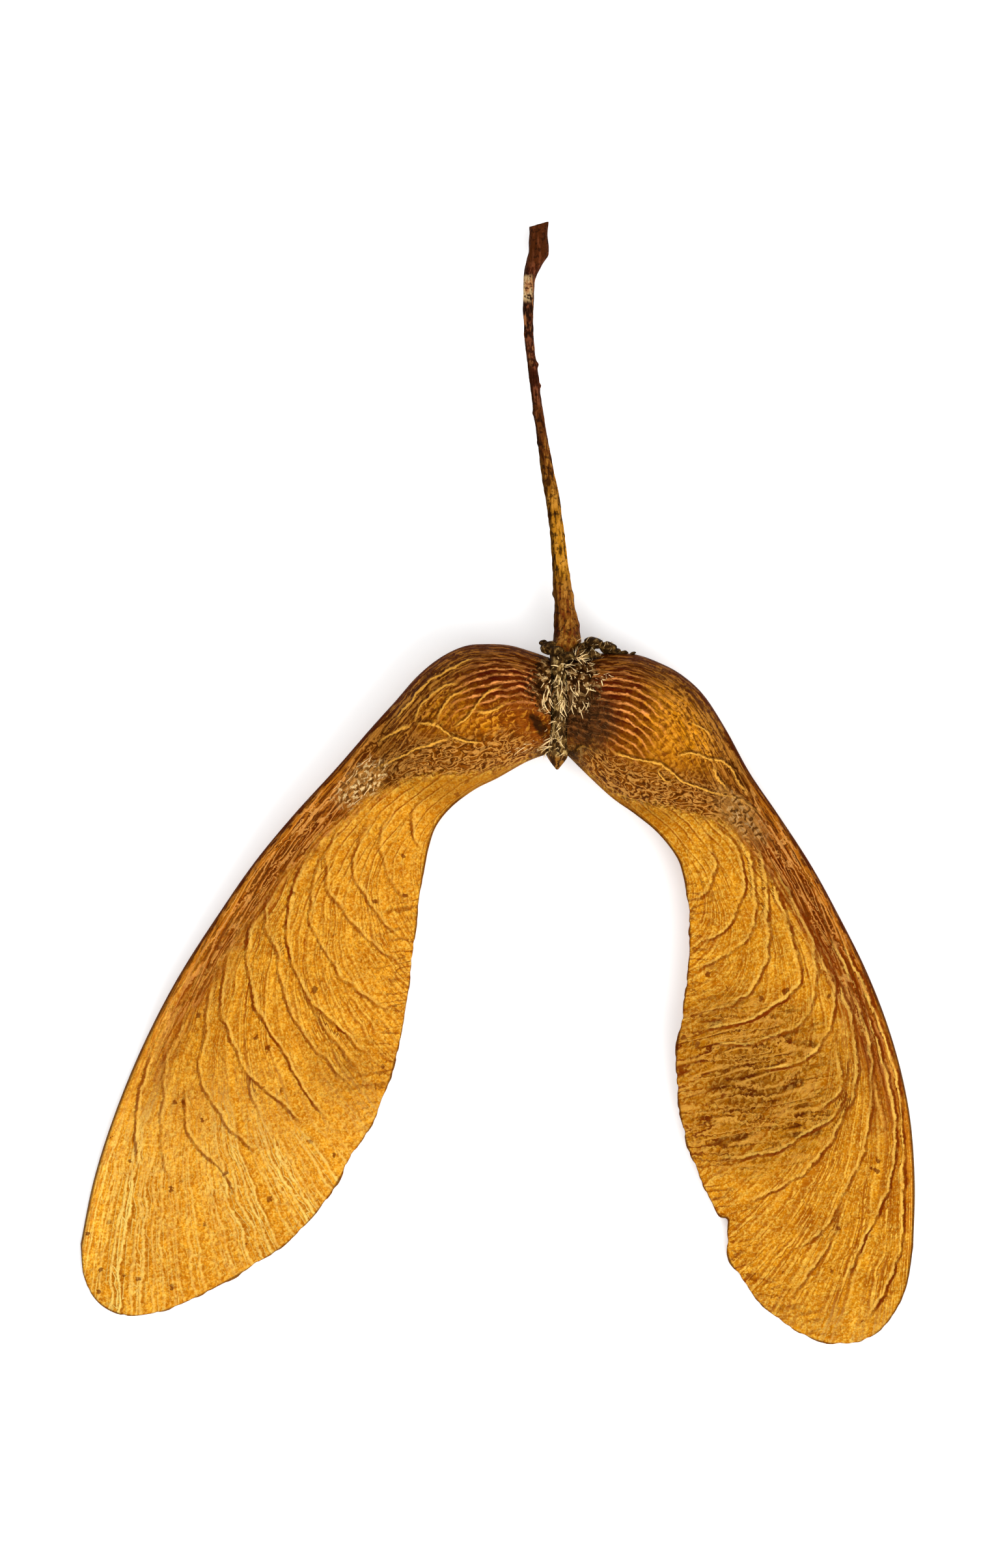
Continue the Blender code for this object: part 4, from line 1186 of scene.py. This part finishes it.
def patch(points, faces, wanted):
    """The faces whose middles are wanted, as judged by a function of x and y."""
    middles = points[faces].mean(axis=1)
    return faces[wanted(middles[:, 0], middles[:, 1])]


# Where hairs grow at the seam, as true or false for each x and y.
def in_tuft(x, y):
    ragged = 0.25 * ripples(np.stack([x, y], -1), 0.5, 12)
    return np.hypot((x - 0.3 - 0.25 * y) / 1.3, (y - 1.0) / 1.3) < 0.95 + ragged


def in_crust(x, y):
    return (x > 0.8) & (x < 2.4) & (y > 2.1) & (y < 3.2)


def on_column(x, y):
    return (np.abs(x + 0.15) < 0.45) & (y < 0.6) & (y > -2.3)


def left_of_foot(x, y):
    return (x < -0.3) & (x > -1.9) & (np.abs(y + 1.85) < 0.32)


def in_fuzz(x, y):
    return np.hypot((x - 1.2) / 1.3, (y + 0.6) / 1.2) < 1.0


# Hairs at the seam: name, where they grow, the way they lean, thick or thin, pale or dark, how many on
# a square millimetre, length, disorder and seed. The tuft's hairs spread from TUFT_MIDDLE.
TUFT_MIDDLE = (0.2, 1.75)
HAIRY_ABOVE = 2.0
NECK_HAIRS = 9.0
NECK_HALF_LENGTH = 1.3
NECK_HALF_WIDTH = 0.75
SEAM_HAIRS = [
    ("tuft_hairs", in_tuft, None, "thick", "pale", 30.0, 0.45, 0.8, 3),
    ("crust_hairs", in_crust, (0.35, 0.35, 0.5), "thin", "pale", 8.0, 0.35, 0.8, 9),
    ("column_hairs", on_column, (-0.25, -0.9, 0.35), "thick", "pale", 13.0, 0.34, 1.0, 4),
    ("left_strands", left_of_foot, (-0.95, -0.15, 0.12), "thin", "pale", 16.0, 0.6, 0.3, 5),
    ("fuzz", in_fuzz, (0.5, -0.35, 0.5), "thin", "dark", 30.0, 0.35, 0.9, 6),
]


def all_hairs(skins):
    """The hairs at the seam, on the upper sides of all skins, and those on the necks of the wings."""
    looks = {
        "pale": hair_look("pale_hair", colour(255, 220, 158), colour(96, 54, 14)),
        "dark": hair_look("dark_hair", colour(122, 82, 46), colour(40, 20, 6)),
    }
    shapes = {
        "thick": strand("thick_hair", bend=0.35, width=0.07),
        "thin": strand("thin_hair", bend=0.2, width=0.03),
    }
    beds = np.vstack([points for points, _ in skins.values()])
    starts = np.cumsum([0] + [len(points) for points, _ in skins.values()])
    faces = np.vstack([upper + start for (_, upper), start in zip(skins.values(), starts)])
    faces = faces[beds[faces][:, :, 2].mean(axis=1) > HAIRY_ABOVE]
    away = beds[:, :2] - np.array(TUFT_MIDDLE)
    away = away / np.maximum(np.linalg.norm(away, axis=1), 0.05)[:, None]
    spreading = np.column_stack([away + [0.0, -0.5], np.full(len(beds), 0.2)])
    for name, wanted, way, shape, tone, *numbers in SEAM_HAIRS:
        ways = spreading if way is None else np.tile(way, (len(beds), 1))
        grow(name, beds, patch(beds, faces, wanted), ways, shapes[shape], looks[tone], "stalk", *numbers)
    for samara in (LEFT, RIGHT):
        points, upper = skins[samara["name"]]
        neck = samara["neck"]
        (mx, my), (wx, wy) = neck["middle"], neck["way"]

        def on_neck(x, y):
            down = (x - mx) * wx + (y - my) * wy
            over = (x - mx) * wy - (y - my) * wx
            return (np.abs(down) < NECK_HALF_LENGTH) & (np.abs(over) < NECK_HALF_WIDTH)

        grow(samara["name"] + "_neck_fibres", points, patch(points, upper, on_neck),
             np.tile([wx, wy, 0.06], (len(points), 1)), shapes["thin"], looks["pale"], samara["slot"],
             per_mm2=NECK_HAIRS * neck["strength"], length=0.5, disorder=0.5, seed=8)
    for item in shapes.values():
        bpy.data.objects.remove(item)


def area_light(name, place, size, power):
    """A square white light turned towards the origin of the frame."""
    light = bpy.data.lights.new(name, "AREA")
    light.size = size
    light.energy = power
    item = bpy.data.objects.new(name, light)
    item.location = place
    item.rotation_euler = (-Vector(place)).to_track_quat("-Z", "Y").to_euler()
    bpy.context.scene.collection.objects.link(item)


def studio():
    """A pale surface, soft light mostly from the lower right, and a camera looking straight down."""
    scene = bpy.context.scene
    floor = bpy.data.meshes.new("floor")
    half = 2.0
    low = -0.00002
    corners = [(-half, -half, low), (half, -half, low), (half, half, low), (-half, half, low)]
    floor.from_pydata(corners, [], [(0, 1, 2, 3)])
    surface = bpy.data.objects.new("floor", floor)
    scene.collection.objects.link(surface)
    paper = Look("floor")
    shader = paper.node("ShaderNodeBsdfPrincipled", inputs={
        "Base Color": (0.9, 0.9, 0.9, 1.0), "Roughness": 0.9, "Emission Color": (1.0, 1.0, 1.0, 1.0),
        "Emission Strength": 0.2,
    })
    paper.node("ShaderNodeOutputMaterial", inputs={"Surface": shader.outputs[0]})
    floor.materials.append(paper.material)
    area_light("key", (0.17, -0.21, 0.24), size=0.3, power=1.25)
    area_light("fill", (-0.22, 0.2, 0.34), size=0.5, power=0.7)
    area_light("top", (0.0, 0.02, 0.5), size=0.6, power=1.3)
    world = bpy.data.worlds.new("studio")
    world.use_nodes = True
    sky = world.node_tree.nodes["Background"].inputs
    sky["Color"].default_value = (1.0, 1.0, 1.0, 1.0)
    sky["Strength"].default_value = 0.4
    scene.world = world
    camera = bpy.data.cameras.new("camera")
    camera.lens = 300.0
    camera.sensor_width = 36.0
    camera.clip_start = 0.01
    view = bpy.data.objects.new("camera", camera)
    view.location = (0.0, 0.0, 0.61)
    scene.collection.objects.link(view)
    scene.camera = view
    scene.view_settings.view_transform = "Standard"


def main():
    skins = {}
    for samara, seed in ((LEFT, 11), (RIGHT, 41)):
        name = samara["name"]
        points, faces, values, upper = samara_skin(samara, seed)
        mesh = new_mesh(name + "_skin", points, faces, values)
        new_piece(name + "_skin", mesh, samara_look(samara), name)
        skins[name] = (points, upper)
    points, faces, values = stalk_skin()
    mesh = new_mesh("stalk_skin", points, faces, values)
    new_piece("stalk_skin", mesh, stalk_look(), "stalk")
    skins["stalk"] = (points, faces)
    all_hairs(skins)
    studio()


main()
